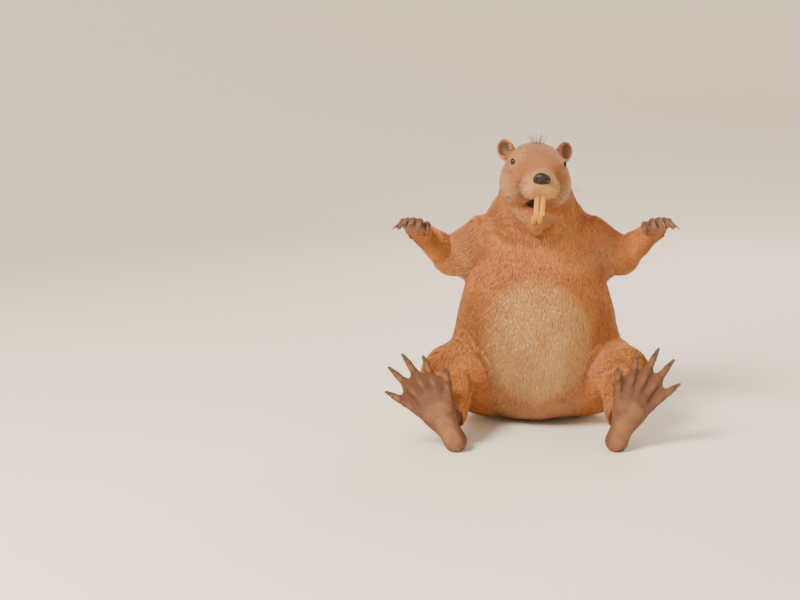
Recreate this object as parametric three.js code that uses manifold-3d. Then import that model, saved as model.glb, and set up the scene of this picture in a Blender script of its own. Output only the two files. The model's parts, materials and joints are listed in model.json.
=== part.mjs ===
// A life-size adult beaver that sits upright on its rump. Its hind feet are stretched forward, soles showing,
// its front paws are raised to each side as if over a log, and its mouth is open on its incisors.
// Millimetres, +Z up. The beaver faces -Y, so its left side is +X. The origin is the middle of the flat that
// it sits on. Every furred shape is the outside of the coat.
import * as THREE from "three";
import { mergeVertices } from "three/addons/utils/BufferGeometryUtils.js";
import Module from "manifold-3d";

const wasm = await Module();
wasm.setup();

// ---------------------------------------------------------------- driving dimensions
const SITTING_HEIGHT = 505; // floor to crown
const HEAD_LENGTH = 160; // nose to the back of the skull
const TAIL_LENGTH = 268; // the scaly paddle
const TAIL_WIDTH = 132;
const HIND_FOOT = 174; // middle of the heel to the longest claw
const FRONT_PAW = 84; // middle of the wrist to the longest claw
const PAW_SPREAD = 212; // middle plane to the middle of a raised paw
const PAW_HEIGHT = 372;
const HEEL_SPREAD = 134; // middle plane to a heel
const HEEL_FORWARD = 212;
const HEEL_HEIGHT = 16.5; // of its middle: less than its radius, so it rests on a flat
const FOOT_LEAN_OUT = { left: 24, right: 31 }; // degrees from upright, toes outwards
const FOOT_LEAN_BACK = 8; // degrees, toes towards the body
const HEAD_YAW = 7; // degrees, towards the beaver's left
const HEAD_ROLL = 3; // degrees, its left ear lower
const JAW_OPEN = 31; // degrees
const GAP = 0.4; // clearance between neighbouring pieces

const SIDES = { left: 1, right: -1 };
const FLOOR = [0, 0, 1]; // the normal of the plane that trims what rests on the floor

// ---------------------------------------------------------------- signed distance fields
const vec = (x, y, z) => new THREE.Vector3(x, y, z);
const radians = THREE.MathUtils.degToRad;

/** An ellipsoid, by the usual gradient-scaled estimate. */
function ellipsoid(centre, radii) {
  return (p) => {
    const q = p.clone().sub(centre);
    const near = q.clone().divide(radii).length();
    const steep = q.divide(radii).divide(radii).length();
    return steep > 0 ? (near * (near - 1)) / steep : -Math.min(radii.x, radii.y, radii.z);
  };
}

/** A cone with a ball at each end: radius ra at a, rb at b. */
function roundCone(a, b, ra, rb) {
  const axis = b.clone().sub(a);
  const length2 = axis.lengthSq();
  const fall = ra - rb;
  const slant = length2 - fall * fall;
  return (p) => {
    const fromA = p.clone().sub(a);
    const along = fromA.dot(axis);
    const beyond = along - length2;
    const across = fromA.clone().multiplyScalar(length2).addScaledVector(axis, -along).lengthSq();
    const side = Math.sign(fall) * fall * fall * across;
    if (Math.sign(beyond) * slant * beyond * beyond * length2 > side)
      return Math.sqrt(across + beyond * beyond * length2) / length2 - rb;
    if (Math.sign(along) * slant * along * along * length2 < side)
      return Math.sqrt(across + along * along * length2) / length2 - ra;
    return (Math.sqrt((across * slant) / length2) + along * fall) / length2 - ra;
  };
}

/** The union of fields, with a fillet about `reach` wide where they meet. */
function blend(reach, ...fields) {
  return (p) =>
    fields
      .map((field) => field(p))
      .reduce((a, b) => {
        const mix = Math.max(reach - Math.abs(a - b), 0) / reach;
        return Math.min(a, b) - (mix * mix * reach) / 4;
      });
}

/** A field with another one carved out of it. */
function carve(reach, field, hole) {
  return (p) => {
    const a = field(p);
    const b = -hole(p);
    const mix = Math.max(reach - Math.abs(a - b), 0) / reach;
    return Math.max(a, b) + (mix * mix * reach) / 4;
  };
}

/** A field that was written in a frame of its own, set into the body's frame by a rigid matrix. */
function placed(field, matrix) {
  const inverse = matrix.clone().invert();
  return (p) => field(p.clone().applyMatrix4(inverse));
}

/** The point on the ray where it leaves the field's surface, less `depth`. */
function leaving(field, from, direction, depth) {
  const ray = direction.clone().normalize();
  let far = 0;
  while (field(from.clone().addScaledVector(ray, far)) < -depth) far += 0.25;
  return from.clone().addScaledVector(ray, far);
}

/** The same field on both sides of the middle plane. */
const onBothSides = (field) => (p) => field(vec(Math.abs(p.x), p.y, p.z));

// ---------------------------------------------------------------- fields and lofts to solids
/** A manifold-3d solid from a closed three.js geometry. */
function solidFromGeometry(geometry) {
  const bare = geometry.clone().deleteAttribute("normal").deleteAttribute("uv");
  const merged = mergeVertices(bare, 1e-3);
  return new wasm.Manifold(
    new wasm.Mesh({
      numProp: 3,
      vertProperties: new Float32Array(merged.attributes.position.array),
      triVerts: new Uint32Array(merged.index.array),
    }),
  );
}

/** The gradient of a field, which points out of its surface. */
function slopeOf(field, point) {
  const step = 0.4;
  return vec(
    field(point.clone().setX(point.x + step)) - field(point.clone().setX(point.x - step)),
    field(point.clone().setY(point.y + step)) - field(point.clone().setY(point.y - step)),
    field(point.clone().setZ(point.z + step)) - field(point.clone().setZ(point.z - step)),
  ).divideScalar(2 * step);
}

/** Moves a point onto the field's zero surface, by no more than `limit`. */
function snapToSurface(field, point, limit) {
  const start = point.clone();
  for (let round = 0; round < 4; round++) {
    const slope = slopeOf(field, point);
    if (slope.lengthSq() < 0.05) break;
    point.addScaledVector(slope, -field(point) / slope.lengthSq());
  }
  return point.distanceTo(start) > limit ? start : point;
}

/**
 * A surface net: one vertex in each cell that the surface passes, one quad for each cell edge that it
 * crosses. It gives the solid, and the same solid with its faces moved out by the gap.
 */
function netSolid(field, box, cell) {
  const low = box.min.clone().subScalar(1.5 * cell);
  const counts = box.max.clone().sub(low).divideScalar(cell).ceil().addScalar(2).toArray();
  const [nx, ny, nz] = counts;
  const index = (i, j, k) => i + nx * (j + ny * k);
  const corner = (i, j, k) => vec(low.x + i * cell, low.y + j * cell, low.z + k * cell);
  const values = new Float64Array(nx * ny * nz);
  for (let k = 0; k < nz; k++)
    for (let j = 0; j < ny; j++)
      for (let i = 0; i < nx; i++) values[index(i, j, k)] = field(corner(i, j, k));

  const positions = [];
  const grownPositions = [];
  const vertexOf = new Map();
  /** The vertex of one cell, made when it is first asked for. */
  function cellVertex(i, j, k) {
    const key = index(i, j, k);
    if (vertexOf.has(key)) return vertexOf.get(key);
    const sum = vec(0, 0, 0);
    let crossings = 0;
    for (let axis = 0; axis < 3; axis++)
      for (let side = 0; side < 4; side++) {
        const from = [i, j, k];
        from[(axis + 1) % 3] += side & 1;
        from[(axis + 2) % 3] += side >> 1;
        const to = [...from];
        to[axis] += 1;
        const a = values[index(...from)];
        const b = values[index(...to)];
        if (a < 0 === b < 0) continue;
        sum.add(corner(...from).lerp(corner(...to), a / (a - b)));
        crossings += 1;
      }
    const point = snapToSurface(field, sum.divideScalar(crossings), 0.45 * cell);
    vertexOf.set(key, positions.length / 3);
    positions.push(...point);
    grownPositions.push(...point.addScaledVector(slopeOf(field, point).normalize(), 1.25 * GAP));
    return vertexOf.get(key);
  }

  const triangles = [];
  for (let k = 1; k < nz - 1; k++)
    for (let j = 1; j < ny - 1; j++)
      for (let i = 1; i < nx - 1; i++)
        for (let axis = 0; axis < 3; axis++) {
          const to = [i, j, k];
          to[axis] += 1;
          const inside = values[index(i, j, k)] < 0;
          if (inside === values[index(...to)] < 0) continue;
          const ring = [[0, 0], [1, 0], [1, 1], [0, 1]].map(([a, b]) => {
            const at = [i, j, k];
            at[(axis + 1) % 3] -= a;
            at[(axis + 2) % 3] -= b;
            return cellVertex(...at);
          });
          const [a, b, c, d] = inside ? ring : ring.reverse();
          triangles.push(a, b, c, a, c, d);
        }
  const closed = (points) =>
    solidFromGeometry(
      new THREE.BufferGeometry()
        .setAttribute("position", new THREE.Float32BufferAttribute(points, 3))
        .setIndex(triangles),
    );
  return { solid: closed(positions), grown: closed(grownPositions) };
}

/**
 * A closed loft along a curve. halfSizes(t) gives the section's half width, across `side`, and its half
 * depth, and squareness 2 is an ellipse, more is boxier.
 */
function loftSolid({ curve, side, halfSizes, rings, segments, squareness = 2 }) {
  const positions = [];
  const triangles = [];
  const rounded = (value) => Math.sign(value) * Math.abs(value) ** (2 / squareness);
  for (let ring = 0; ring <= rings; ring++) {
    const t = (1 - Math.cos((Math.PI * ring) / rings)) / 2;
    const tangent = curve.getTangent(t);
    const depthways = side.clone().cross(tangent).normalize();
    const sideways = tangent.clone().cross(depthways).normalize();
    const [halfWidth, halfDepth] = halfSizes(t);
    for (let s = 0; s < segments; s++) {
      const angle = (2 * Math.PI * s) / segments;
      const point = curve
        .getPoint(t)
        .addScaledVector(sideways, halfWidth * rounded(Math.cos(angle)))
        .addScaledVector(depthways, halfDepth * rounded(Math.sin(angle)));
      positions.push(point.x, point.y, point.z);
    }
  }
  const ends = [curve.getPoint(0), curve.getPoint(1)];
  ends.forEach((end) => positions.push(end.x, end.y, end.z));
  const startPole = (rings + 1) * segments;
  for (let s = 0; s < segments; s++) {
    const next = (s + 1) % segments;
    triangles.push(startPole, next, s);
    triangles.push(startPole + 1, rings * segments + s, rings * segments + next);
    for (let ring = 0; ring < rings; ring++) {
      const a = ring * segments + s;
      const b = ring * segments + next;
      triangles.push(a, b, b + segments, a, b + segments, a + segments);
    }
  }
  const geometry = new THREE.BufferGeometry();
  geometry.setAttribute("position", new THREE.Float32BufferAttribute(positions, 3));
  geometry.setIndex(triangles);
  const solid = solidFromGeometry(geometry);
  return solid.volume() < 0 ? solidFromGeometry(geometry.setIndex(triangles.reverse())) : solid;
}

/** How full a loft is at t when both its ends are rounded. */
const roundedEnds = (t) => Math.max(0.5, (1 - Math.abs(2 * t - 1) ** 6) ** 0.5);

// ---------------------------------------------------------------- the pieces, in the order they are cut
const coats = {
  coat: new THREE.MeshStandardMaterial({ color: 0x8a5a33, roughness: 0.8, metalness: 0 }),
  bare_skin: new THREE.MeshStandardMaterial({ color: 0x4b3a31, roughness: 0.6, metalness: 0 }),
  tail_scales: new THREE.MeshStandardMaterial({ color: 0x3d332c, roughness: 0.55, metalness: 0 }),
  claw: new THREE.MeshStandardMaterial({ color: 0x33261d, roughness: 0.4, metalness: 0 }),
  enamel: new THREE.MeshStandardMaterial({ color: 0xd07a1c, roughness: 0.3, metalness: 0 }),
  eye: new THREE.MeshStandardMaterial({ color: 0x120c08, roughness: 0.08, metalness: 0 }),
};
const beaver = new THREE.Group();
const cutters = []; // the solids made so far, each grown by the gap

const boxesMeet = (a, b) =>
  [0, 1, 2].every((axis) => a.min[axis] <= b.max[axis] && b.min[axis] <= a.max[axis]);

/** The largest body of a solid: what a cut leaves beside it is crumbs. */
function mainBody(solid) {
  return solid.decompose().reduce((best, body) => (body.volume() > best.volume() ? body : best));
}

/** A three.js geometry with a solid's faces. */
function geometryFromSolid(solid) {
  const mesh = solid.getMesh();
  const geometry = new THREE.BufferGeometry();
  geometry.setAttribute("position", new THREE.BufferAttribute(new Float32Array(mesh.vertProperties), 3));
  geometry.setIndex(new THREE.BufferAttribute(new Uint32Array(mesh.triVerts), 1));
  geometry.computeVertexNormals();
  return geometry;
}

/** Adds a node of that name and material. */
function addNode(name, material, solid) {
  const node = new THREE.Mesh(geometryFromSolid(mainBody(solid)), coats[material]);
  node.name = name;
  beaver.add(node);
}

/** Adds a node, cut clear of every piece made before it and of the floor. */
function addPiece(name, material, solid, grown) {
  let cut = solid.trimByPlane(FLOOR, 0);
  for (const cutter of cutters)
    if (boxesMeet(cutter.boundingBox(), cut.boundingBox())) cut = cut.subtract(cutter);
  addNode(name, material, cut);
  if (grown) cutters.push(grown);
}

/** Adds a node in a socket of its own shape, cut into its host. shape(grow) makes it, grown so far. */
function addSeated(name, material, host, shape) {
  const node = beaver.getObjectByName(host);
  node.geometry = geometryFromSolid(mainBody(solidFromGeometry(node.geometry).subtract(shape(GAP))));
  addNode(name, material, shape(0));
}

/** The box of round spans, given as [centre, reach] pairs, with room to spare. */
function boxAround(spans, room) {
  const box = new THREE.Box3();
  for (const [centre, reach] of spans)
    box.union(new THREE.Box3(centre.clone().subScalar(reach + room), centre.clone().addScalar(reach + room)));
  return box;
}

/**
 * Adds a piece of flesh. It swells into its parent with a fillet, and is cut off where the parent's own
 * surface lies, so the two together have one smooth outline.
 */
function addFlesh({ name, material = "coat", field, parent = null, fillet = 0, spans, cell, extras = [] }) {
  const filleted = parent ? blend(fillet, field, parent) : field;
  const outer = (p) => Math.max(filleted(p), field(p) - fillet);
  const box = boxAround(spans, fillet);
  const { solid, grown } = netSolid(outer, box, cell);
  const joined = (base, part) => extras.reduce((whole, extra) => whole.add(extra[part]), base);
  addPiece(name, material, joined(solid, "solid"), joined(grown, "grown"));
}

// ---------------------------------------------------------------- trunk, neck and tail
const pelvis = ellipsoid(vec(0, 8, 112), vec(146, 128, 118));
const belly = ellipsoid(vec(0, -22, 178), vec(141, 124, 122));
const chest = roundCone(vec(0, 6, 232), vec(0, 4, 322), 114, 82);
const hump = ellipsoid(vec(0, 34, 240), vec(112, 102, 116));
const shoulders = ellipsoid(vec(0, 4, 326), vec(112, 76, 58));
const trunkField = blend(46, pelvis, belly, chest, hump, shoulders);

const NECK_BASE = vec(0, -2, 345);
const NECK_TOP = vec(0, -44, SITTING_HEIGHT - 80);
const neckField = roundCone(NECK_BASE, NECK_TOP, 84, 60);

const tailRootStart = vec(0, 104, 60);
const tailRootEnd = vec(0, 160, 22);
const tailRootField = blend(
  30,
  roundCone(tailRootStart, vec(0, 142, 32), 50, 30),
  ellipsoid(tailRootEnd, vec(40, 34, 23)),
);

/** The scaly paddle, a flat leaf that lies on the floor behind the rump. */
function tailPaddle(grow) {
  const start = vec(0, tailRootEnd.y + 4, 15);
  const end = vec(0, tailRootEnd.y + 4 + TAIL_LENGTH, 3);
  const halfSizes = (t) => {
    const fromWidest = t < 0.55 ? (0.55 - t) / 0.72 : (t - 0.55) / 0.452;
    const leaf = (1 - fromWidest ** 2.5) ** 0.5;
    return [(TAIL_WIDTH / 2) * leaf + grow, 14 - 10 * t + grow];
  };
  const curve = new THREE.LineCurve3(start, end);
  return loftSolid({ curve, side: vec(1, 0, 0), halfSizes, rings: 12, segments: 12, squareness: 2.3 });
}

addFlesh({
  name: "trunk",
  field: trunkField,
  spans: [[vec(0, 5, 110), 146], [vec(0, 5, 290), 125]],
  cell: 38,
});
addFlesh({
  name: "neck",
  field: neckField,
  parent: trunkField,
  fillet: 30,
  spans: [[NECK_BASE, 84], [NECK_TOP, 60]],
  cell: 36,
});
addFlesh({
  name: "tail_root",
  field: tailRootField,
  parent: trunkField,
  fillet: 32,
  spans: [[tailRootStart, 50], [tailRootEnd, 40]],
  cell: 26,
});
addPiece("tail", "tail_scales", tailPaddle(0), tailPaddle(GAP));

// ---------------------------------------------------------------- head
const headAt = vec(0, -84, SITTING_HEIGHT - 58);
const headTurn = new THREE.Quaternion().setFromEuler(
  new THREE.Euler(radians(2), radians(HEAD_ROLL), radians(HEAD_YAW), "ZYX"),
);
const headPlace = new THREE.Matrix4().compose(headAt, headTurn, vec(1, 1, 1));
const atHead = (x, y, z) => vec(x, y, z).applyMatrix4(headPlace);

const NOSE_TIP = vec(0, -0.51 * HEAD_LENGTH, 4);
const EYE_RADIUS = 7.2;
const EAR = vec(50.5, 32, 37.5);
const JAW_JOINT = vec(0, 30, -16);

const cranium = ellipsoid(vec(0, 16, 11), vec(54, 55, 46));
const cheek = onBothSides(ellipsoid(vec(31, 2, -14), vec(33, 46, 39)));
const bridge = roundCone(vec(0, -12, 10), vec(0, -57, -3), 37, 27.5);
const whiskerPad = onBothSides(ellipsoid(vec(16, -60, -15), vec(19, 22, 19)));
const temple = onBothSides(ellipsoid(vec(25, -15, 15), vec(21.5, 36, 22)));
const throat = ellipsoid(vec(0, 24, -34), vec(52, 42, 38));
const mouthHollow = roundCone(vec(0, -72, -54), vec(0, -30, -42), 15, 10);
const wholeHead = blend(16, cranium, cheek, bridge, whiskerPad, temple, throat);
const headField = placed(carve(6, wholeHead, mouthHollow), headPlace);
const EYE = leaving(wholeHead, vec(14, -12, 22), vec(1, -0.55, 0.08), 2);

addFlesh({
  name: "head",
  field: headField,
  parent: neckField,
  fillet: 18,
  spans: [[atHead(0, 16, -6), 74], [atHead(0, -58, -8), 40]],
  cell: 12.5,
});

// The jaw hangs open about its joint, so its shape is written closed and then turned.
const jawTurn = new THREE.Matrix4()
  .makeTranslation(JAW_JOINT)
  .multiply(new THREE.Matrix4().makeRotationX(radians(JAW_OPEN)))
  .multiply(new THREE.Matrix4().makeTranslation(JAW_JOINT.clone().negate()));
const jawPlace = headPlace.clone().multiply(jawTurn);
const CHIN = vec(0, -53, -45);
const jawBone = blend(
  12,
  roundCone(vec(0, 6, -38), CHIN, 30, 15.5),
  onBothSides(ellipsoid(vec(14, -18, -44), vec(19, 28, 16))),
);
addFlesh({
  name: "lower_jaw",
  field: placed(jawBone, jawPlace),
  parent: headField,
  fillet: 7,
  spans: [[vec(0, 2, -38).applyMatrix4(jawPlace), 36], [CHIN.clone().applyMatrix4(jawPlace), 20]],
  cell: 11,
});

/** A small round ear: a flattened ball whose front is pressed in as a cup, opening forwards and outwards. */
function earSolid(side, grow) {
  const half = vec(15.5, 8, 18).addScalar(grow);
  const geometry = new THREE.SphereGeometry(1, 12, 8);
  const points = geometry.attributes.position;
  for (let i = 0; i < points.count; i++) {
    const [x, y, z] = [points.getX(i), points.getY(i), points.getZ(i)];
    const pressed = y < 0 ? 0.75 * y + 1.05 * y ** 2 : y;
    points.setXYZ(i, x * half.x, pressed * half.y, z * half.z);
  }
  const facing = new THREE.Quaternion().setFromEuler(
    new THREE.Euler(radians(-8), radians(26 * side), radians(20 * side), "ZYX"),
  );
  const root = vec(side * EAR.x, EAR.y, EAR.z);
  geometry.applyMatrix4(new THREE.Matrix4().compose(root, facing, vec(1, 1, 1))).applyMatrix4(headPlace);
  return solidFromGeometry(geometry);
}

for (const [sideName, side] of Object.entries(SIDES))
  addPiece(`ear_${sideName}`, "coat", earSolid(side, 0), earSolid(side, GAP));
addFlesh({
  name: "nose",
  material: "bare_skin",
  field: placed(ellipsoid(NOSE_TIP, vec(14.5, 8, 10.5)), headPlace),
  spans: [[NOSE_TIP.clone().applyMatrix4(headPlace), 14]],
  cell: 8,
});

/** A ball, by its middle and radius. */
function ballSolid(centre, radius, segments) {
  const geometry = new THREE.SphereGeometry(radius, segments, segments / 2);
  return solidFromGeometry(geometry.translate(centre.x, centre.y, centre.z));
}

/** One incisor: a slightly curved bar of enamel with a chisel end, from its gum to its edge. */
function incisor(place, gum, edge, bow, grow) {
  const middle = gum.clone().lerp(edge, 0.5).add(vec(0, bow, 0));
  const ends = [gum, middle, edge].map((point) => point.clone().applyMatrix4(place));
  const curve = new THREE.QuadraticBezierCurve3(...ends);
  const side = vec(1, 0, 0).transformDirection(place);
  const halfSizes = (t) => [4.55 - 0.35 * t + grow, (t < 0.7 ? 3.9 : 3.9 - 9.5 * (t - 0.7)) + grow];
  return loftSolid({ curve, side, halfSizes, rings: 3, segments: 6, squareness: 3.2 });
}

const TEETH = {
  upper: { host: "head", place: headPlace, gum: vec(4.9, -70, -22), edge: vec(4.8, -66, -60), bow: -4.5 },
  lower: { host: "lower_jaw", place: jawPlace, gum: vec(4.7, -55, -42), edge: vec(4.5, -62, -13), bow: -4 },
};
for (const [sideName, side] of Object.entries(SIDES)) {
  const eyeAt = atHead(side * EYE.x, EYE.y, EYE.z);
  addSeated(`eye_${sideName}`, "eye", "head", (grow) => ballSolid(eyeAt, EYE_RADIUS + grow, 8));
  for (const [row, { host, place, gum, edge, bow }] of Object.entries(TEETH)) {
    const across = (point) => vec(side * point.x, point.y, point.z);
    addSeated(`incisor_${row}_${sideName}`, "enamel", host, (grow) =>
      incisor(place, across(gum), across(edge), bow, grow),
    );
  }
}

// ---------------------------------------------------------------- digits and claws
/** A bent digit: a round-ended loft through joints, thinning towards its tip. */
function digitSolid(joints, across, radius, tipRadius, grow) {
  const curve = new THREE.CatmullRomCurve3(joints);
  const halfSizes = (t) => {
    const thick = THREE.MathUtils.lerp(radius, tipRadius, t) * roundedEnds(t) + grow;
    return [thick, thick];
  };
  return loftSolid({ curve, side: across, halfSizes, rings: 3, segments: 5 });
}

/** A claw: a curved spike, wider than deep, that starts a gap ahead of the digit's blunt end. */
function clawSolid(root, tip, droop, across, halfWidth) {
  const start = root.clone().lerp(tip, GAP / root.distanceTo(tip));
  const middle = start.clone().lerp(tip, 0.55).add(droop);
  const curve = new THREE.QuadraticBezierCurve3(start, middle, tip);
  const halfSizes = (t) => {
    const full = 1 - 0.8 * t ** 1.5;
    return [halfWidth * full, halfWidth * 0.72 * full];
  };
  return loftSolid({ curve, side: across, halfSizes, rings: 3, segments: 5 });
}

/** A frame for a paw or foot: X across it, towards the beaver's right, Y along it, Z out of its back. */
function limbFrame(origin, along, back) {
  const forward = along.clone().normalize();
  const across = forward.clone().cross(back).normalize();
  const outOfBack = across.clone().cross(forward).normalize();
  return new THREE.Matrix4().makeBasis(across, forward, outOfBack).setPosition(origin);
}

/** The digits of a limb as extras for its flesh, and its claws, both in the limb's own frame. */
function digitsAndClaws(place, digits) {
  const here = (point) => point.clone().applyMatrix4(place);
  const across = vec(1, 0, 0).transformDirection(place);
  const extras = digits.map(({ joints, radius, tipRadius }) => ({
    solid: digitSolid(joints.map(here), across, radius, tipRadius, 0),
    grown: digitSolid(joints.map(here), across, radius, tipRadius, GAP),
  }));
  const claws = digits.map(({ claw }) => {
    const [root, tip] = [here(claw.root), here(claw.tip)];
    const droop = claw.droop.clone().transformDirection(place).multiplyScalar(claw.droop.length());
    return clawSolid(root, tip, droop, across, claw.halfWidth);
  });
  return { extras, claws };
}

// ---------------------------------------------------------------- forelegs
/** The five fingers of a front paw, thumb first, which lies on the side that `thumbSide` gives, 1 or -1. */
function fingers(thumbSide) {
  const reach = [0.5, 0.88, 1, 0.96, 0.8];
  return reach.map((share, i) => {
    const spread = thumbSide * (2 - i);
    const fan = radians(spread * 9);
    const knuckle = vec(spread * 8.6, i === 0 ? 20 : 33 - 1.6 * (i - 2) ** 2, 2);
    const length = 30 * share;
    const ahead = (part, drop) =>
      knuckle.clone().add(vec(Math.sin(fan) * length * part, Math.cos(fan) * length * part, drop));
    const bend = ahead(0.45, 2.5);
    const tip = ahead(0.92, -8);
    return {
      joints: [ahead(-0.35, -2), bend, tip],
      radius: 6.4,
      tipRadius: 4.6,
      claw: {
        root: tip,
        tip: ahead(0.92 + (0.2 * FRONT_PAW) / length, -20),
        droop: vec(0, 0, 4),
        halfWidth: 2.7,
      },
    };
  });
}

function addForeleg(sideName, side) {
  const shoulder = vec(side * 86, -8, 328);
  const elbow = vec(side * 150, 10, 292);
  const wrist = vec(side * (PAW_SPREAD - 10), -50, PAW_HEIGHT - 25);
  const upperArm = roundCone(shoulder, elbow, 50, 35);
  const forearm = roundCone(elbow, wrist, 34, 21);
  const place = limbFrame(wrist, vec(side * 0.16, -0.86, 0.38), vec(side * -0.1, 0.35, 0.9));
  const palm = placed(
    blend(
      10,
      ellipsoid(vec(0, 20, -1), vec(23, 23, 11)),
      roundCone(vec(0, -4, 0), vec(0, 14, 0), 16, 13),
    ),
    place,
  );
  const { extras, claws } = digitsAndClaws(place, fingers(side));
  addFlesh({
    name: `upper_arm_${sideName}`,
    field: upperArm,
    parent: trunkField,
    fillet: 20,
    spans: [[shoulder, 50], [elbow, 35]],
    cell: 29,
  });
  addFlesh({
    name: `forearm_${sideName}`,
    field: forearm,
    parent: upperArm,
    fillet: 10,
    spans: [[elbow, 34], [wrist, 21]],
    cell: 20,
  });
  addFlesh({
    name: `front_paw_${sideName}`,
    material: "bare_skin",
    field: palm,
    parent: forearm,
    fillet: 7,
    spans: [[wrist, 17], [vec(0, 20, 0).applyMatrix4(place), 26]],
    cell: 15,
    extras,
  });
  claws.forEach((claw, i) => addPiece(`claw_front_${sideName}_${i + 1}`, "claw", claw, null));
}

// ---------------------------------------------------------------- hind legs
const TOE_REACH = [0.62, 0.84, 1, 0.98, 0.8]; // the big toe first
const TOE_FAN = [-27, -12, 0, 12, 26]; // degrees
const SOLE = 78; // heel to the roots of the toes

/** A toe's middle line: the point at `part` of its length, in the foot's frame. Toe 0 is on `bigSide`. */
function onToe(bigSide, i, part) {
  const fan = radians(-bigSide * TOE_FAN[i]);
  const length = (HIND_FOOT - SOLE - 18) * TOE_REACH[i];
  const root = vec(bigSide * 11.5 * (2 - i), SOLE - 4 - 3.2 * (i - 2) ** 2, 0);
  const arch = 4 * Math.sin(Math.PI * part) - 5 * part ** 2;
  return root.add(vec(Math.sin(fan) * length * part, Math.cos(fan) * length * part, arch));
}

function toes(bigSide) {
  return TOE_REACH.map((_, i) => {
    const claw = onToe(bigSide, i, 1.24).sub(vec(0, 0, 3));
    return {
      joints: [-0.2, 0.2, 0.6, 1].map((part) => onToe(bigSide, i, part)),
      radius: 8,
      tipRadius: 5.6,
      claw: { root: onToe(bigSide, i, 1), tip: claw, droop: vec(0, 0, 2), halfWidth: 4 },
    };
  });
}

/** The web: a thin fan from toe to toe, its free edge hollowed between them. */
function webSolid(place, bigSide, grow) {
  const outline = new THREE.Shape();
  const start = onToe(bigSide, 0, 0);
  outline.moveTo(start.x, start.y);
  TOE_REACH.forEach((_, i) => {
    const tip = onToe(bigSide, i, 0.9);
    if (i > 0) {
      const hollow = onToe(bigSide, i - 1, 0.72).lerp(onToe(bigSide, i, 0.72), 0.5);
      outline.quadraticCurveTo(hollow.x, hollow.y, tip.x, tip.y);
    } else outline.lineTo(tip.x, tip.y);
  });
  const end = onToe(bigSide, 4, 0);
  outline.lineTo(end.x, end.y);
  const thickness = 3 + 2 * grow;
  const options = { depth: thickness, bevelEnabled: false, curveSegments: 4 };
  const geometry = new THREE.ExtrudeGeometry(outline, options).translate(0, 0, -thickness / 2);
  return solidFromGeometry(geometry.applyMatrix4(place));
}

function addHindLeg(sideName, side) {
  const hip = vec(side * 84, 6, 84);
  const knee = vec(side * 152, -92, 104);
  const ankle = vec(side * (HEEL_SPREAD + 5), -184, 50);
  const heel = vec(side * HEEL_SPREAD, -HEEL_FORWARD, HEEL_HEIGHT);
  const thigh = roundCone(hip, knee, 84, 50);
  const shank = roundCone(knee, ankle, 47, 26);
  const lean = radians(FOOT_LEAN_OUT[sideName]);
  const along = vec(side * Math.sin(lean), Math.tan(radians(FOOT_LEAN_BACK)), Math.cos(lean));
  const place = limbFrame(heel, along, vec(0, 1, 0));
  const sole = placed(
    blend(
      14,
      roundCone(vec(0, 0, 0), vec(0, 30, 2), 20, 18.5),
      ellipsoid(vec(0, 56, 1), vec(30, 34, 13)),
    ),
    place,
  );
  const { extras, claws } = digitsAndClaws(place, toes(side));
  extras.push({ solid: webSolid(place, side, 0), grown: webSolid(place, side, GAP) });
  addFlesh({
    name: `thigh_${sideName}`,
    field: thigh,
    parent: trunkField,
    fillet: 24,
    spans: [[hip, 84], [knee, 50]],
    cell: 37,
  });
  addFlesh({
    name: `shank_${sideName}`,
    field: shank,
    parent: thigh,
    fillet: 14,
    spans: [[knee, 47], [ankle, 26]],
    cell: 24,
  });
  addFlesh({
    name: `hind_foot_${sideName}`,
    material: "bare_skin",
    field: sole,
    parent: shank,
    fillet: 9,
    spans: [[heel, 21], [vec(0, 58, 0).applyMatrix4(place), 34]],
    cell: 18,
    extras,
  });
  claws.forEach((claw, i) => addPiece(`claw_hind_${sideName}_${i + 1}`, "claw", claw, null));
}

for (const [sideName, side] of Object.entries(SIDES)) {
  addHindLeg(sideName, side);
  addForeleg(sideName, side);
}

export default beaver;
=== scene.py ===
# %% [markdown]
# # A beaver, sitting
# The model is a life-size beaver that sits on its rump with its hind feet forward and its front paws
# raised. Its solids are already made and packed. This script dresses them: one skin that replaces the
# nodes of flesh, a coat of small locks over it, and its own meshes for the eyes, teeth, claws, whiskers
# and tail scales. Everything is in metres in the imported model's frame, where the beaver faces -Y and its
# left side is +X.

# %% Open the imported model
import json
import math

import bmesh
import bpy
import numpy as np
import openvdb as vdb
from mathutils import Euler, Matrix, Vector
from mathutils.bvhtree import BVHTree
from mathutils.kdtree import KDTree

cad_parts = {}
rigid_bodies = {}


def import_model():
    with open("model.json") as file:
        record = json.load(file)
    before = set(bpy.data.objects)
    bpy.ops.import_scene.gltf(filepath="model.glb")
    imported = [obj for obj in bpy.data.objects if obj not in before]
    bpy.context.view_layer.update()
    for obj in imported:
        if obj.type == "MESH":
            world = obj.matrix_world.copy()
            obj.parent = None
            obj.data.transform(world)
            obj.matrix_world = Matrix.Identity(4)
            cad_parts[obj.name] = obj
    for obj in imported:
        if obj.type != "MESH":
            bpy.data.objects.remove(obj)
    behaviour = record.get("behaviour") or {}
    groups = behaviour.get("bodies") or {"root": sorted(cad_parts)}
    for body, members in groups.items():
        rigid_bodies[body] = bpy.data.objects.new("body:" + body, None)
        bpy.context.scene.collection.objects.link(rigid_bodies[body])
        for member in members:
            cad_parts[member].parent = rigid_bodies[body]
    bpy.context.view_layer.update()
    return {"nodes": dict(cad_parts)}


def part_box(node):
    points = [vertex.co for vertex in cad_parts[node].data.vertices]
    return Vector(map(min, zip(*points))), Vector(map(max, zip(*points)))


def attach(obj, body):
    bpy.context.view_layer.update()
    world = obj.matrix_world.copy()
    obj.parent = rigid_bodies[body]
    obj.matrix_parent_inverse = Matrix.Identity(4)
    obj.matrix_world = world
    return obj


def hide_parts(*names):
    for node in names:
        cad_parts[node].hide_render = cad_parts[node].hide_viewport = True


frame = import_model()
MM = 0.001
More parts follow.
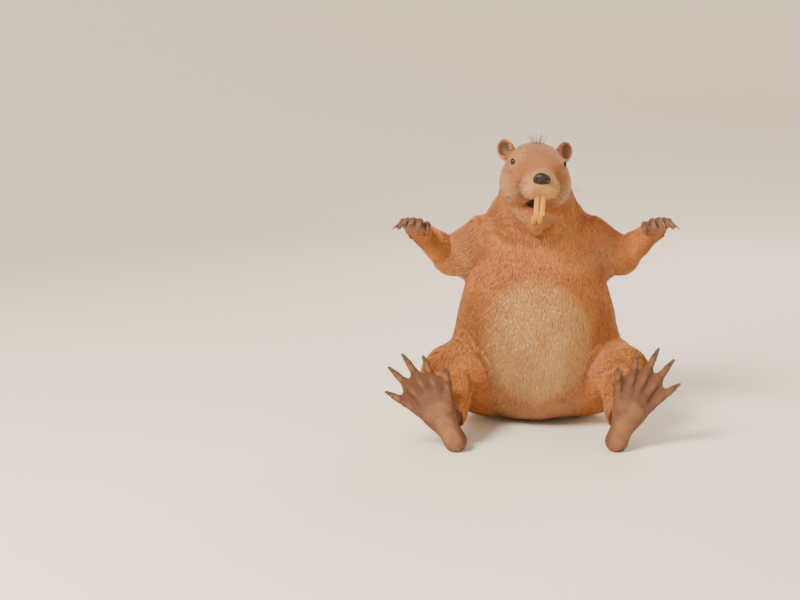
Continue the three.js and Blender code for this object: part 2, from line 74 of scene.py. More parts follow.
MM32 = np.float32(MM)  # the same for arrays of single precision
SIDES = {"left": 1, "right": -1}
DIGITS = range(1, 6)

# %% [markdown]
# ## Camera, floor and light
# A camera far enough away keeps a sitting animal from looking swollen in the middle. It stands a little
# above the beaver and is shifted, not turned, so that the body stands right of the middle of the frame.
# The floor is a shallow bowl that curves up into a wall all round: it has no horizon, and no corner from
# any side.

# %% Camera
def put_in_scene(name, data):
    """A new object in the scene."""
    thing = bpy.data.objects.new(name, data)
    bpy.context.scene.collection.objects.link(thing)
    return thing


CAMERA_DISTANCE = 2.36
CAMERA_ELEVATION = math.radians(10)
LOOKED_AT = Vector((0.0, -0.03, 0.222))


def add_camera():
    """A camera in front of the beaver that looks along +Y and slightly down."""
    camera = bpy.data.cameras.new("camera")
    camera.lens = 60
    camera.shift_x = -0.17
    away = Vector((0, -math.cos(CAMERA_ELEVATION), math.sin(CAMERA_ELEVATION)))
    holder = put_in_scene("camera", camera)
    holder.location = LOOKED_AT + CAMERA_DISTANCE * away
    holder.rotation_euler = (-away).to_track_quat("-Z", "Y").to_euler()
    bpy.context.scene.camera = holder
    return holder


print("camera at", [round(v, 2) for v in add_camera().location])

# %% Rings, for all that is turned or lofted
def ring(radius, height, turns):
    """A ring of corners round the Z axis."""
    angles = [2 * math.pi * k / turns for k in range(turns)]
    return [(radius * math.cos(angle), radius * math.sin(angle), height) for angle in angles]


def strip(first, second, turns):
    """The quads between two rings, each given by the number of its first corner."""
    steps = [(k, (k + 1) % turns) for k in range(turns)]
    return [(first + k, first + n, second + n, second + k) for k, n in steps]


def fan(first, tip, turns, turned=False):
    """The triangles between a ring and one corner; turned makes them face the other way."""
    faces = [(first + k, first + (k + 1) % turns, tip) for k in range(turns)]
    return [face[::-1] for face in faces] if turned else faces


# %% Studio floor and lights
STUDIO_RADIUS = 4.2
STUDIO_HEIGHT = 3.4
STUDIO_BEND = 1.4
STUDIO_TURNS = 64
LIT_PLACE = Vector((0, -0.05, 0.25))  # the beaver's chest


def add_studio():
    """A pale bowl: a flat disc that turns up into a wall by a quarter circle."""
    profile = [(share * STUDIO_RADIUS, 0.0) for share in (0, 0.15, 0.4, 0.6)]
    for step in range(13):
        angle = step / 12 * math.pi / 2
        inwards = STUDIO_BEND * (math.sin(angle) - 1)
        profile.append((STUDIO_RADIUS + inwards, STUDIO_BEND * (1 - math.cos(angle))))
    profile.append((STUDIO_RADIUS, STUDIO_HEIGHT))
    points = [corner for radius, height in profile for corner in ring(radius, height, STUDIO_TURNS)]
    faces = []
    for row in range(len(profile) - 1):
        faces += strip(row * STUDIO_TURNS, (row + 1) * STUDIO_TURNS, STUDIO_TURNS)
    mesh = bpy.data.meshes.new("studio_floor")
    mesh.from_pydata(points, [], faces)
    mesh.shade_smooth()
    material = bpy.data.materials.new("studio_floor")
    material.use_nodes = True
    shader = material.node_tree.nodes["Principled BSDF"]
    shader.inputs["Base Color"].default_value = (0.88, 0.82, 0.72, 1)
    shader.inputs["Roughness"].default_value = 0.9
    mesh.materials.append(material)
    floor = put_in_scene("studio_floor", mesh)


def add_light(name, place, size, power, colour):
    """A soft square lamp that points at the beaver."""
    light = bpy.data.lights.new(name, "AREA")
    light.size = size
    light.energy = power
    light.color = colour
    holder = put_in_scene(name, light)
    holder.location = place
    aim = LIT_PLACE - holder.location
    holder.rotation_euler = aim.to_track_quat("-Z", "Y").to_euler()


def add_daylight():
    """A dim even light from everywhere."""
    world = bpy.data.worlds.new("studio")
    world.use_nodes = True
    background = world.node_tree.nodes["Background"]
    background.inputs["Color"].default_value = (1.0, 0.96, 0.90, 1)
    background.inputs["Strength"].default_value = 0.38
    bpy.context.scene.world = world


add_studio()
add_light("key", (-1.6, -1.8, 2.3), 1.1, 205, (1.0, 0.90, 0.77))
add_light("fill", (2.3, -2.0, 1.3), 2.0, 24, (1.0, 0.94, 0.86))
add_light("rim", (0.9, 2.3, 2.1), 1.6, 70, (1.0, 0.93, 0.84))
add_daylight()
print("studio is ready")

# %% [markdown]
# ## Distances in boxes of voxels
# The skin lies inside the solids by the depth of the coat, and one skin has to cover many solids. Moving
# a mesh's corners inwards makes folds wherever two solids meet. A box of voxels that holds the distance
# to the surface makes this simple: a union is the smaller of two distances, a fillet is a soft smaller-
# of-two, an inset adds the coat's depth, and a blur takes away the facets. The surface is then drawn
# once, at zero.

# %% Boxes of voxels
class Block:
    """A box of voxels, by its lowest and highest corner."""

    def __init__(self, low, high, voxel):
        self.voxel = voxel
        self.first = np.floor(np.array(low) / voxel).astype(int)
        self.shape = tuple(int(n) for n in np.ceil(np.array(high) / voxel).astype(int) - self.first + 1)

    def points(self):
        """The middle of each voxel."""
        axes = [(self.first[a] + np.arange(self.shape[a], dtype=np.float32)) * self.voxel for a in range(3)]
        return np.stack(np.meshgrid(*axes, indexing="ij"), axis=-1).astype(np.float32)

    def transform(self):
        return vdb.createLinearTransform(voxelSize=self.voxel)

    def corner(self):
        return tuple(int(i) for i in self.first)

    def distances(self, corners, reach, **faces):
        """The signed distance to a closed mesh, as far as `reach` on both sides."""
        grid = vdb.FloatGrid.createLevelSetFromPolygons(
            corners, transform=self.transform(), halfWidth=reach / self.voxel, **faces
        )
        values = np.empty(self.shape, np.float32)
        grid.copyToArray(values, ijk=self.corner())
        return values

    def surface(self, values, level=0.0):
        """The closed surface where the values pass `level`, as corners, triangles and quads."""
        grid = vdb.FloatGrid(float(values.max()))
        grid.transform = self.transform()
        grid.copyFromArray(np.ascontiguousarray(values), ijk=self.corner())
        return grid.convertToPolygons(isovalue=level)

    def measured_again(self, values, level, reach):
        """True distances to the surface at `level`, which closes gaps narrower than twice that."""
        corners, triangles, quads = self.surface(values, level)
        return self.distances(corners, reach, triangles=triangles, quads=quads) + np.float32(level)

    def sample(self, values, points):
        """The values at any points, by straight-line interpolation."""
        at = points / self.voxel - self.first
        at = np.clip(at, 0, np.array(self.shape) - 1.001)
        base = np.floor(at).astype(int)
        part = (at - base).astype(np.float32)
        total = 0
        for corner in np.ndindex(2, 2, 2):
            weight = np.prod(np.where(np.array(corner) == 1, part, 1 - part), axis=-1)
            i, j, k = (base[..., a] + corner[a] for a in range(3))
            total = total + weight * values[i, j, k]
        return total


def blurred(values, sigma):
    """A soft average over neighbouring voxels, sigma in voxels, one axis after another."""
    reach = int(math.ceil(2.5 * sigma))
    kernel = np.exp(-0.5 * (np.arange(-reach, reach + 1) / sigma) ** 2).astype(np.float32)
    kernel /= kernel.sum()
    for axis in range(3):
        padded = np.pad(values, [(reach, reach) if a == axis else (0, 0) for a in range(3)], mode="edge")
        size = values.shape[axis]
        slices = [padded.take(range(start, start + size), axis=axis) for start in range(2 * reach + 1)]
        values = sum(weight * piece for weight, piece in zip(kernel, slices))
    return values


def read_all(items, name, width, kind=np.float32):
    """One array of a value that every corner or face of a mesh holds, `width` numbers for each."""
    values = np.empty(width * len(items), kind)
    items.foreach_get(name, values)
    return values.reshape(-1, width)


def corners_of(mesh):
    """The places of a mesh's corners."""
    return read_all(mesh.vertices, "co", 3)


def solid_of(node):
    """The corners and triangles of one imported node."""
    mesh = frame["nodes"][node].data
    mesh.calc_loop_triangles()
    return corners_of(mesh), read_all(mesh.loop_triangles, "vertices", 3, np.int32).astype(np.uint32)


def mean_of(node):
    """The mean of a node's corners."""
    return solid_of(node)[0].astype(float).mean(axis=0)


def box_round(nodes, room):
    """The lowest and highest corner round several nodes, with room to spare."""
    boxes = [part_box(node) for node in nodes]
    low = np.min([np.array(low) for low, _ in boxes], axis=0) - room
    high = np.max([np.array(high) for _, high in boxes], axis=0) + room
    return low, high


def union_of(block, nodes, reach):
    """The distance to the nearest of several nodes."""
    parts = []
    for node in nodes:
        corners, triangles = solid_of(node)
        parts.append(block.distances(corners, reach, triangles=triangles))
    return np.minimum.reduce(parts)


def unit(v):
    """A vector made one long."""
    return np.asarray(v, float) / np.linalg.norm(v)


def unit_rows(rows, least=0.0):
    """Each row made one long. A row shorter than `least` stays short."""
    return rows / np.maximum(np.linalg.norm(rows, axis=1, keepdims=True), least)


print("a 5 mm block holds", Block(*box_round(frame["nodes"], 0.02), 0.005).shape, "voxels")

# %% [markdown]
# ## Soft shapes
# The face, paws and feet need more than an inset of their solids. Their folds, pads and toes are written
# as distance fields too, in millimetres in a frame of their own, and melted into the flesh with soft
# unions. Modelling them by hand with a sculpting brush would suit one animal only: fields can be moved
# and resized.

# %% Soft shapes
def melt(a, b, reach):
    """A union with a fillet about `reach` wide."""
    mix = np.maximum(reach - np.abs(a - b), 0) / reach
    return np.minimum(a, b) - mix * mix * reach / 4


def dig(a, hole, reach):
    """Takes a hole out, with a rounded edge about `reach` wide."""
    return -melt(-a, hole, reach)


def ball(p, centre, radii):
    """An ellipsoid; one radius makes a ball."""
    radii = np.broadcast_to(np.array(radii, np.float32), (3,))
    q = (p - np.array(centre, np.float32)) / radii
    near = np.linalg.norm(q, axis=-1)
    steep = np.linalg.norm(q / radii, axis=-1)
    return near * (near - 1) / np.maximum(steep, 1e-6)


def rod(p, a, b, radius_a, radius_b):
    """A round bar from a to b whose radius changes evenly."""
    a, b = np.array(a, np.float32), np.array(b, np.float32)
    along = b - a
    t = np.clip(((p - a) @ along) / (along @ along), 0, 1)
    away = np.linalg.norm(p - a - t[..., None] * along, axis=-1)
    return away - (radius_a + (radius_b - radius_a) * t)


def ramp(x, start, end):
    """0 at start, 1 at end, and smooth between them."""
    t = np.clip((x - start) / (end - start), 0, 1)
    return t * t * (3 - 2 * t)


def local(points, place):
    """Points in a limb's own frame, in millimetres. place is a 4 by 4 array in metres."""
    inverse = np.linalg.inv(place).astype(np.float32)
    return (points @ inverse[:3, :3].T + inverse[:3, 3]) / MM32


def frame_from(origin, x, y, z):
    """A frame from its origin and three axes."""
    place = np.eye(4)
    place[:3, 0], place[:3, 1], place[:3, 2], place[:3, 3] = x, y, z, origin
    return place


crossing = float(melt(np.float32(0), np.float32(0), 4))
print("a soft union of two balls at their crossing:", round(crossing, 2), "mm")

# %% [markdown]
# ## Where the head, paws and feet are
# Each of these is modelled in a frame of its own, in millimetres. The frame is found from the packed
# model: the middles of its claws or teeth and eyes are known in that frame, so one rigid fit gives the
# turn and the place. A right limb uses the left one's numbers in a mirrored frame, where X always points
# to the thumb's side.

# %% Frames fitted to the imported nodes
HEAD_MARKS = {
    "eye_{}": (43.5, -28.2, 24.4),
    "incisor_upper_{}": (4.85, -68.84, -41.0),
    "incisor_lower_{}": (4.6, -40.6, -71.8),
}
HIND_CLAW_MARKS = (
    (47.7, 109.7, -9),
    (26.8, 142.9, -9),
    (0, 161.7, -9),
    (-29.4, 154.9, -9),
    (-53.8, 124.3, -9),
)
FRONT_CLAW_MARKS = (
    (23.3, 38.7, -9.3),
    (13.3, 61.3, -9.3),
    (0, 66.7, -9.4),
    (-13.7, 63.5, -9.3),
    (-25.9, 53.3, -9.3),
)


def fitted_place(marks, nodes, hand):
    """The frame that brings marks, in millimetres, onto the middles of nodes. hand -1 mirrors it."""
    here = np.array(marks, float) * MM
    there = np.array([mean_of(node) for node in nodes])
    left, _, right = np.linalg.svd((there - there.mean(axis=0)).T @ (here - here.mean(axis=0)))
    turn = left @ np.diag([1, 1, hand * np.sign(np.linalg.det(left @ right))]) @ right
    place = np.eye(4)
    place[:3, :3] = turn
    place[:3, 3] = there.mean(axis=0) - turn @ here.mean(axis=0)
    miss = np.linalg.norm(here @ turn.T + place[:3, 3] - there, axis=1).max() / MM
    print(f"frame of {nodes[0]}: the worst mark is {miss:.2f} mm off")
    return place


head_nodes = [name.format(side) for side in SIDES for name in HEAD_MARKS]
head_marks = [(way * x, y, z) for way in SIDES.values() for x, y, z in HEAD_MARKS.values()]
head_place = fitted_place(head_marks, head_nodes, 1)
foot_places, paw_places = {}, {}
for side, way in SIDES.items():
    foot_places[side] = fitted_place(HIND_CLAW_MARKS, [f"claw_hind_{side}_{i}" for i in DIGITS], way)
    paw_places[side] = fitted_place(FRONT_CLAW_MARKS, [f"claw_front_{side}_{i}" for i in DIGITS], way)

# %% [markdown]
# ## The body under the coat
# The trunk, neck, tail root and legs make one soft body. A beaver's underwool is deep on its back and
# thin on its wrists and ankles, so the skin lies deeper where the coat is deeper. Each node has its own
# depth, and the depths are mixed by how near each node is.

# %% Coat by node: depth of the coat over the skin, and length and width of its locks, in millimetres
COAT = {
    "trunk": (5.8, 19.0, 1.40),
    "neck": (5.4, 16.0, 1.30),
    "tail_root": (4.6, 15.0, 1.25),
    "thigh": (5.6, 18.0, 1.35),
    "shank": (4.4, 14.0, 1.20),
    "upper_arm": (5.2, 16.0, 1.30),
    "forearm": (3.4, 14.5, 1.15),
    "head": (3.6, 9.5, 0.85),
    "lower_jaw": (3.0, 8.0, 0.80),
    "ear": (1.2, 5.0, 0.6),
    "hind_foot": (2.0, 6.0, 0.8),
    "front_paw": (1.6, 6.5, 0.8),
    "tail": (0.4, 6.0, 1.2),
}
PAIRED = ("thigh", "shank", "upper_arm", "forearm", "ear", "hind_foot", "front_paw")
nodes_of = {part: [f"{part}_{side}" for side in SIDES] if part in PAIRED else [part] for part in COAT}
flesh_nodes = [node for part in COAT for node in nodes_of[part]] + ["nose"]
BODY_PARTS = ("trunk", "neck", "tail_root", "thigh", "shank", "upper_arm", "forearm")

REGION_VOXEL = 0.006
REGION_REACH = 0.05
region_block = Block(*box_round(flesh_nodes, 0.02), REGION_VOXEL)
region_distance = {}
for part in COAT:
    region_distance[part] = union_of(region_block, nodes_of[part], REGION_REACH)
print("regions:", len(region_distance), "on", region_block.shape)


def sampled_shares(points, reach):
    """How much each part of the body counts at each point: near parts count most."""
    away = np.stack([region_block.sample(region_distance[part], points) for part in COAT])
    counts = np.exp((away.min(axis=0) - away) / reach)
    return counts / counts.sum(axis=0)


# %% The body's skin as distances
BODY_VOXEL = 0.004
BODY_REACH = 0.05
BODY_CLOSED = 0.0008  # gaps between solids are closed up to twice this
BODY_BLEND = 0.008  # the depths of neighbouring parts mix over about this length
FINE_BLUR, COARSE_BLUR = 1.5, 3.2  # in voxels; the trunk and thighs take the coarse one

body_nodes = [node for part in BODY_PARTS for node in nodes_of[part]]
body_block = Block(*box_round(body_nodes, 0.03), BODY_VOXEL)
body_points = body_block.points()
outline = union_of(body_block, body_nodes, BODY_REACH)
outline = body_block.measured_again(outline, BODY_CLOSED, BODY_REACH)
weights = sampled_shares(body_points.reshape(-1, 3), BODY_BLEND)
coat_depth = sum(w * COAT[part][0] for w, part in zip(weights, COAT)).reshape(body_block.shape)
broad = sum(w for w, part in zip(weights, COAT) if part in ("trunk", "thigh")).reshape(body_block.shape)
fine, coarse = blurred(outline, FINE_BLUR), blurred(outline, COARSE_BLUR)
body_values = fine + (coarse - fine) * ramp(broad, 0.5, 0.95)
body_values = body_values + blurred(coat_depth.astype(np.float32), FINE_BLUR) * MM
thin, deep = round(float(coat_depth.min()), 1), round(float(coat_depth.max()), 1)
print("body:", body_block.shape, "coat depth", thin, "to", deep)


def body_skin(points):
    """The body's skin in millimetres, at any points."""
    return body_block.sample(body_values, points) / MM32


# %% [markdown]
# ## Where a finer part takes over
# The head, paws, feet and tail need finer voxels than the body. Each has its own block, which also holds
# the end of the body that it joins. Past a cutting plane each surface sinks a little and then ends, the
# body's on one side and the part's on the other, so the two cross in one clean line and a union welds
# them.

# %% Cutting planes, and the welded skin's pieces
SINK = 3.0
SINK_LENGTH = 14.0
CUT_REACH = 0.075  # a limb's plane cuts the body only this near to its middle


def past(points, plane):
    """How far points are past a plane, in millimetres."""
    centre, normal = plane
    return (points - centre.astype(np.float32)) @ normal.astype(np.float32) / MM32


def ended(values, beyond):
    """Makes a surface sink once it is past its plane, and end."""
    return np.maximum(values + SINK * ramp(beyond, -2, SINK_LENGTH), beyond - SINK_LENGTH)


def at(place, *point):
    """A point of a limb's frame, in metres."""
    return place[:3, :3] @ (np.array(point) * MM) + place[:3, 3]


NECK_CUT = (np.array([0, -0.020, 0.385]), unit([0, -0.46, 0.89]))
TAIL_CUT = (np.array([0, 0.147, 0.03]), np.array([0, 1.0, 0]))
ANKLE = (11, 49, 44)  # in the foot's own frame, as is the way into the foot
INTO_FOOT = (0, -0.25, -0.97)
wrist_cuts, ankle_cuts = {}, {}
for side in SIDES:
    wrist = at(paw_places[side], 0, 0, 0)
    along = unit(wrist - mean_of(f"forearm_{side}"))
    wrist_cuts[side] = (wrist - 0.028 * along, along)
    ankle = at(foot_places[side], *ANKLE)
    ankle_cuts[side] = (ankle, foot_places[side][:3, :3] @ unit(INTO_FOOT))
    print(side, "wrist", np.round(wrist, 3), "ankle", np.round(ankle, 3))

values = body_values / MM32
for plane in (NECK_CUT, TAIL_CUT):
    values = ended(values, past(body_points, plane))
for cut in (*wrist_cuts.values(), *ankle_cuts.values()):
    near = np.linalg.norm(body_points - cut[0].astype(np.float32), axis=-1) < CUT_REACH
    values = np.where(near, ended(values, past(body_points, cut)), values)
body_skin_values = values

# %% [markdown]
# ## The head
# A beaver's head is a blunt wedge: a broad flat skull, full cheeks where the chewing muscles are, small
# eyes set high on the sides, and a thick muzzle with a bare nose. Its lips close behind the front teeth.
# The shapes below are muscles and bones in the head's own frame; most are on both sides, so they are
# written once for |x|.

# %% Head: skull, muzzle and jaw
EYE_AT = np.array([39.9, -26.3, 24.1])
EYE_OUT = unit([1, -0.62, 0.10])
EYE_RADIUS = 7.0
EAR_AT = (50.5, 32, 37.5)
EAR_TURN = Euler([math.radians(a) for a in (-8, 26, 20)], "XYZ").to_matrix()
EAR_CUP = (0.5, -5.8, 1.2), (11.9, 7.6, 13.9)  # its middle and its half sizes, in the ear's frame
NOSE_BALL = (0, -80.6, 4.5), (12.5, 8.0, 9.4)
NOSE_WING = (8.8, -81.2, 2.4), (6.0, 6.6, 6.6)
JAW_JOINT = np.array([0, 30, -16], np.float32)
JAW_OPEN = math.radians(31)


def turned_about(p, centre, matrix):
    """Points in a frame that is turned about a centre."""
    return (p - np.array(centre, np.float32)) @ np.array(matrix, np.float32)


def in_jaw(p):
    """Points of the head's frame as the closed jaw sees them."""
    return turned_about(p, JAW_JOINT, Matrix.Rotation(JAW_OPEN, 3, "X")) + JAW_JOINT


def skull_shape(q):
    """The upper head without its features; q is on both sides at once."""
    shape = ball(q, (0, 16, 11), (47, 48, 40))
    shape = melt(shape, ball(q, (30, 2, -14), (28, 40, 33)), 15)
    shape = melt(shape, rod(q, (0, -12, 10), (0, -57, -3), 32.5, 24.5), 15)
    shape = melt(shape, ball(q, (0, 24, -34), (44, 35, 31)), 15)
    shape = melt(shape, ball(q, (25, -15, 15), (17.3, 31, 18)), 15)
    shape = melt(shape, ball(q, (15.5, -60, -14), (16.8, 20, 16)), 7)
    return melt(shape, rod(q, (11.5, -66, -25), (19, -50, -26), 5.2, 5.5), 5)


def jaw_shape(q):
    """The lower jaw, closed: its two branches and the chin."""
    shape = rod(q, (0, 6, -38), (0, -53, -44), 25, 13.5)
    shape = melt(shape, ball(q, (14, -18, -43), (16, 26, 13)), 10)
    return melt(shape, ball(q, (0, -57, -38), (9.5, 6, 5.5)), 5)


def lids(q, shape):
    """A ring of lid round the eye, open as an almond, with a fold above it."""
    side = unit(np.cross([0, 0, 1], EYE_OUT))
    up = np.cross(EYE_OUT, side)
    r = (q - EYE_AT.astype(np.float32)) @ np.stack([side, up, EYE_OUT], axis=1).astype(np.float32)
    u, v, w = r[..., 0], r[..., 1], r[..., 2]
    shape = melt(shape, np.linalg.norm(r, axis=-1) - (EYE_RADIUS + 1.7), 5)
    around = np.sqrt(u * u + (v * 1.15) ** 2)
    fold = np.sqrt((around - 10.2) ** 2 + (w - 3.2) ** 2) - 0.9 + 1.2 * ramp(-v, -2, 5)
    shape = dig(shape, fold, 1.6)
    open_part = (np.sqrt((u / 6.1) ** 2 + ((v - 0.15 * u * ramp(u, -9, 0)) / 4.9) ** 2) - 1) * 4.9
    return dig(shape, np.maximum(open_part, 1.0 - w), 1.2)


def in_ear(p, way):
    """Points in the frame of one ear."""
    return turned_about(p * np.array([way, 1, 1], np.float32), EAR_AT, EAR_TURN)


def ear_shape(p, way):
    """A small round ear, pressed in at the front."""
    r = in_ear(p, way)
    shell = ball(r, (0, 0, 0), (14.9, 6.4, 17.2))
    shell = dig(shell, ball(r, *EAR_CUP), 2.0)
    return melt(shell, ball(r, (-6.5, -1.5, -10), (4.5, 3.6, 6)), 3)


def nose_pad(q, shape):
    """The bare nose, with its side nostrils and the groove down to the lip."""
    for part in (NOSE_BALL, NOSE_WING):
        shape = melt(shape, ball(q, *part), 2.5)
    shape = dig(shape, ball(q, (7.6, -88.6, 2.0), (2.7, 4.4, 2.6)), 1.4)
    shape = dig(shape, rod(q, (8.2, -88.4, 2.6), (14.4, -81.0, 6.0), 1.5, 0.9), 1.2)
    return dig(shape, rod(q, (0, -90.4, 1), (0, -80.5, -22), 0.8, 1.6), 1.4)


def mouth_hollow(q):
    """The open mouth: a wedge between palate and jaw, wide at its back, where the throat begins."""
    wedge = melt(rod(q, (0, -54, -50), (0, -12, -38), 10, 8), rod(q, (0, -48, -58), (0, -10, -44), 9, 7), 6)
    return melt(wedge, ball(q, (0, -18, -45), (18.5, 15, 8.5)), 6)


def head_shape(p):
    """The whole head in millimetres, in its own frame."""
    q = p.copy()
    q[..., 0] = np.abs(q[..., 0])
    shape = skull_shape(q)
    shape = nose_pad(q, shape)
    shape = melt(shape, ball(q, (0, -66, -21), (9, 8, 6)), 4)
    shape = lids(q, shape)
    shape = melt(shape, jaw_shape(in_jaw(q)), 8)
    shape = dig(shape, mouth_hollow(q), 4)
    for way in SIDES.values():
        shape = melt(shape, ear_shape(p, way), 4)
    return shape


HEAD_VOXEL = 0.0014
HEAD_HALF_WIDTH, HEAD_BACK, HEAD_FLOOR = 0.084, 0.062, 0.332  # the block also holds the end of the neck
low, high = box_round(["head", "lower_jaw", "nose", "ear_left", "ear_right"], 0.006)
low[2], high[1] = HEAD_FLOOR, HEAD_BACK
low[0], high[0] = -HEAD_HALF_WIDTH, HEAD_HALF_WIDTH
head_block = Block(low, high, HEAD_VOXEL)
points = head_block.points()
head_values = melt(head_shape(local(points, head_place)), body_skin(points), 16)
head_values = ended(head_values, -past(points, NECK_CUT))
print("head:", head_block.shape)

# %% [markdown]
# ## Paws and feet
# A front paw is a small hand with five clawed fingers. A hind foot is a broad paddle: five long toes
# joined by a web to their ends, and a leathery sole. The web is a thin sheet hung between two toes,
# pleated a little.

# %% Hind foot
TOE_REACH = (0.62, 0.84, 1, 0.98, 0.8)
TOE_FAN = (27, 12, 0, -12, -26)  # degrees that each toe turns away from the middle one
TOE_LENGTH = 78
TOE_BONES = ((-0.25, 0.2, 7.6, 7.2), (0.2, 0.6, 7.2, 6.4), (0.6, 1.0, 6.4, 5.5))  # from, to, and two radii
KNUCKLES = ((0.3, 7.0), (0.66, 6.1))
TOE_PADS = ((0.12, (6.5, 9, 5)), (0.48, (5.4, 7.5, 4.4)), (0.86, (5.2, 8, 4.6)))
SOLE_PADS = (
    ((1, 4, -14), (14.5, 21, 6.5)),
    ((15, 56, -8), (11, 15, 6)),
    ((-9, 58, -8.5), (15, 14, 6)),
)


def on_toe(i, part):
    """The middle of toe i, at a part of its length."""
    turn = math.radians(TOE_FAN[i])
    length = TOE_LENGTH * TOE_REACH[i]
    root = np.array([11.5 * (2 - i), 74 - 3.2 * (i - 2) ** 2, 0])
    arch = 4 * np.sin(np.pi * part) - 5 * part**2
    return root + np.array([math.sin(turn) * length * part, math.cos(turn) * length * part, arch])


def web_between(p, i):
    """The web from toe i to the next one."""
    sides = []
    for toe, way in ((i, 1), (i + 1, -1)):
        root, tip = on_toe(toe, 0), on_toe(toe, 1)
        along = (tip - root)[:2] / np.linalg.norm((tip - root)[:2])
        away = p[..., :2] - root[:2].astype(np.float32)
        part = (away @ along.astype(np.float32)) / (TOE_LENGTH * TOE_REACH[toe])
        off = way * (away @ np.array([-along[1], along[0]], np.float32))
        sides.append((part, off))
    (part_a, off_a), (part_b, off_b) = sides
    share = np.clip(off_a / np.maximum(off_a + off_b, 0.5), 0, 1)
    part = part_a * (1 - share) + part_b * share
    sag = np.sin(np.pi * share)
    t = np.clip(part, -0.2, 1)
    height = 4 * np.sin(np.pi * t) - 5 * t**2 - 2.2 * sag * ramp(part, 0, 0.5)
    height = height + 0.45 * np.sin(6 * np.pi * share) * ramp(part, 0.1, 0.5)
    sheet = np.abs(p[..., 2] - height) - 1.35
    edge = (part - (0.93 - 0.20 * sag)) * 62
    return np.maximum.reduce([sheet, edge, -off_a, -off_b, -(part + 0.3) * 60])


def foot_shape(p):
    """A hind foot in its own frame: the big toe on +X, the toes along +Y, the sole facing -Z."""
    shape = melt(rod(p, (0, 0, 0), (0, 30, 2), 19.6, 18), ball(p, (0, 56, 1), (29.5, 34, 12.6)), 14)
    for i in range(5):
        toe = None
        for start, end, thick, thin in TOE_BONES:
            bone = rod(p, on_toe(i, start), on_toe(i, end), thick, thin)
            toe = bone if toe is None else melt(toe, bone, 3)
        for part, size in KNUCKLES:
            knuckle = on_toe(i, part) + (0, 0, 1.8)
            toe = melt(toe, ball(p, knuckle, size), 3)
        for part, size in TOE_PADS:
            toe = melt(toe, ball(p, on_toe(i, part) - (0, 0, 3.6), size), 2)
        shape = melt(shape, toe, 6)
        tendon = rod(p, (4.5 * (2 - i), 28, 12.5), on_toe(i, 0.12) + (0, 0, 6.2), 2.0, 2.4)
        shape = melt(shape, tendon, 5)
        if i < 4:
            shape = melt(shape, web_between(p, i), 3.5)
    for centre, size in SOLE_PADS:
        shape = melt(shape, ball(p, centre, size), 2.5)
    wander = 0.9 * np.sin(p[..., 0] * 0.13 + 1) + 0.6 * np.sin(p[..., 0] * 0.31)
    folds = np.sin(p[..., 1] * 0.62 + wander) ** 8 * ramp(p[..., 1], 22, 36) * ramp(p[..., 1], 150, 80)
    return shape + 0.42 * folds


# %% Front paw
FINGER_REACH = (0.5, 0.88, 1, 0.96, 0.8)
FINGER_LENGTH = 30


def on_finger(i, part, rise):
    """A point over the middle line of finger i, in the paw's own frame. The thumb is finger 0."""
    spread = 2 - i
    turn = math.radians(9 * spread)
    length = FINGER_LENGTH * FINGER_REACH[i]
    root = np.array([8.6 * spread, 20 if i == 0 else 33 - 1.6 * (i - 2) ** 2, 2 + rise])
    return root + np.array([math.sin(turn) * length * part, math.cos(turn) * length * part, 0])


def paw_shape(p):
    """A front paw in its own frame: the thumb on +X, the fingers along +Y, the palm facing -Z."""
    shape = melt(ball(p, (0, 20, -1), (22.4, 22.4, 10.6)), rod(p, (0, -4, 0), (0, 14, 0), 15.6, 12.8), 10)
    for i in range(5):
        start, bend, tip = on_finger(i, -0.35, -2), on_finger(i, 0.45, 2.5), on_finger(i, 0.92, -8)
        finger = melt(rod(p, start, bend, 6.0, 5.5), rod(p, bend, tip, 5.4, 4.5), 2)
        finger = melt(finger, ball(p, bend + (0, 0, 0.8), 5.6), 2.5)
        finger = melt(finger, ball(p, tip + (0, -1.5, -2.6), (4.2, 5, 3.2)), 1.5)
        shape = melt(shape, finger, 3.5)
    for x in (-8.5, 8.5):
        shape = melt(shape, ball(p, (x, 4, -9.5), (8.2, 9.5, 5.6)), 2)
    for x in (-13, -4.4, 4.4, 13):
        shape = melt(shape, ball(p, (x, 27 - 0.02 * x * x, -9), (5.0, 5.6, 4.2)), 2)
    return shape


FLOOR_GAP = 0.3  # millimetres between a paw's or foot's skin and the floor


def limb_end(place, cut, shape, node, voxel, reach):
    """The distances of a paw or foot, welded to the end of its leg."""
    low, high = box_round([node], 0.006)
    ends = np.array([cut[0] - reach, cut[0] + reach])
    block = Block(np.minimum(low, ends[0]), np.maximum(high, ends[1]), voxel)
    points = block.points()
    values = melt(shape(local(points, place)), body_skin(points), 9)
    values = np.maximum(values, FLOOR_GAP - points[..., 2] / MM32)
    return block, ended(values, -past(points, cut))


zones = {"head": (head_block, head_values)}
for side in SIDES:
    zones[f"hind_foot_{side}"] = limb_end(
        foot_places[side], ankle_cuts[side], foot_shape, f"hind_foot_{side}", 0.0015, 0.046
    )
    zones[f"front_paw_{side}"] = limb_end(
        paw_places[side], wrist_cuts[side], paw_shape, f"front_paw_{side}", 0.0012, 0.034
    )
print("limb ends:", {name: block.shape for name, (block, _) in zones.items()})

# %% [markdown]
# ## The tail
# The tail is a flat paddle, a third as wide again as a hand, thick in the middle and thin at its edge. It
# lies on the floor behind the rump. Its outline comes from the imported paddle; the skin adds a low spine
# along it.

# %% Tail paddle
TAIL_VOXEL = 0.0024
TAIL_WIDEST = 0.55  # where along its length
TAIL_TO_ROOT, TAIL_TO_END = 0.72, 0.452  # how slowly it narrows towards its root and its end
TAIL_FULLNESS = 2.5  # of the outline: 2 would be an ellipse
TAIL_SQUARENESS = 2.4  # of a cut across it
TAIL_GAP = 0.4  # millimetres between its skin and the floor


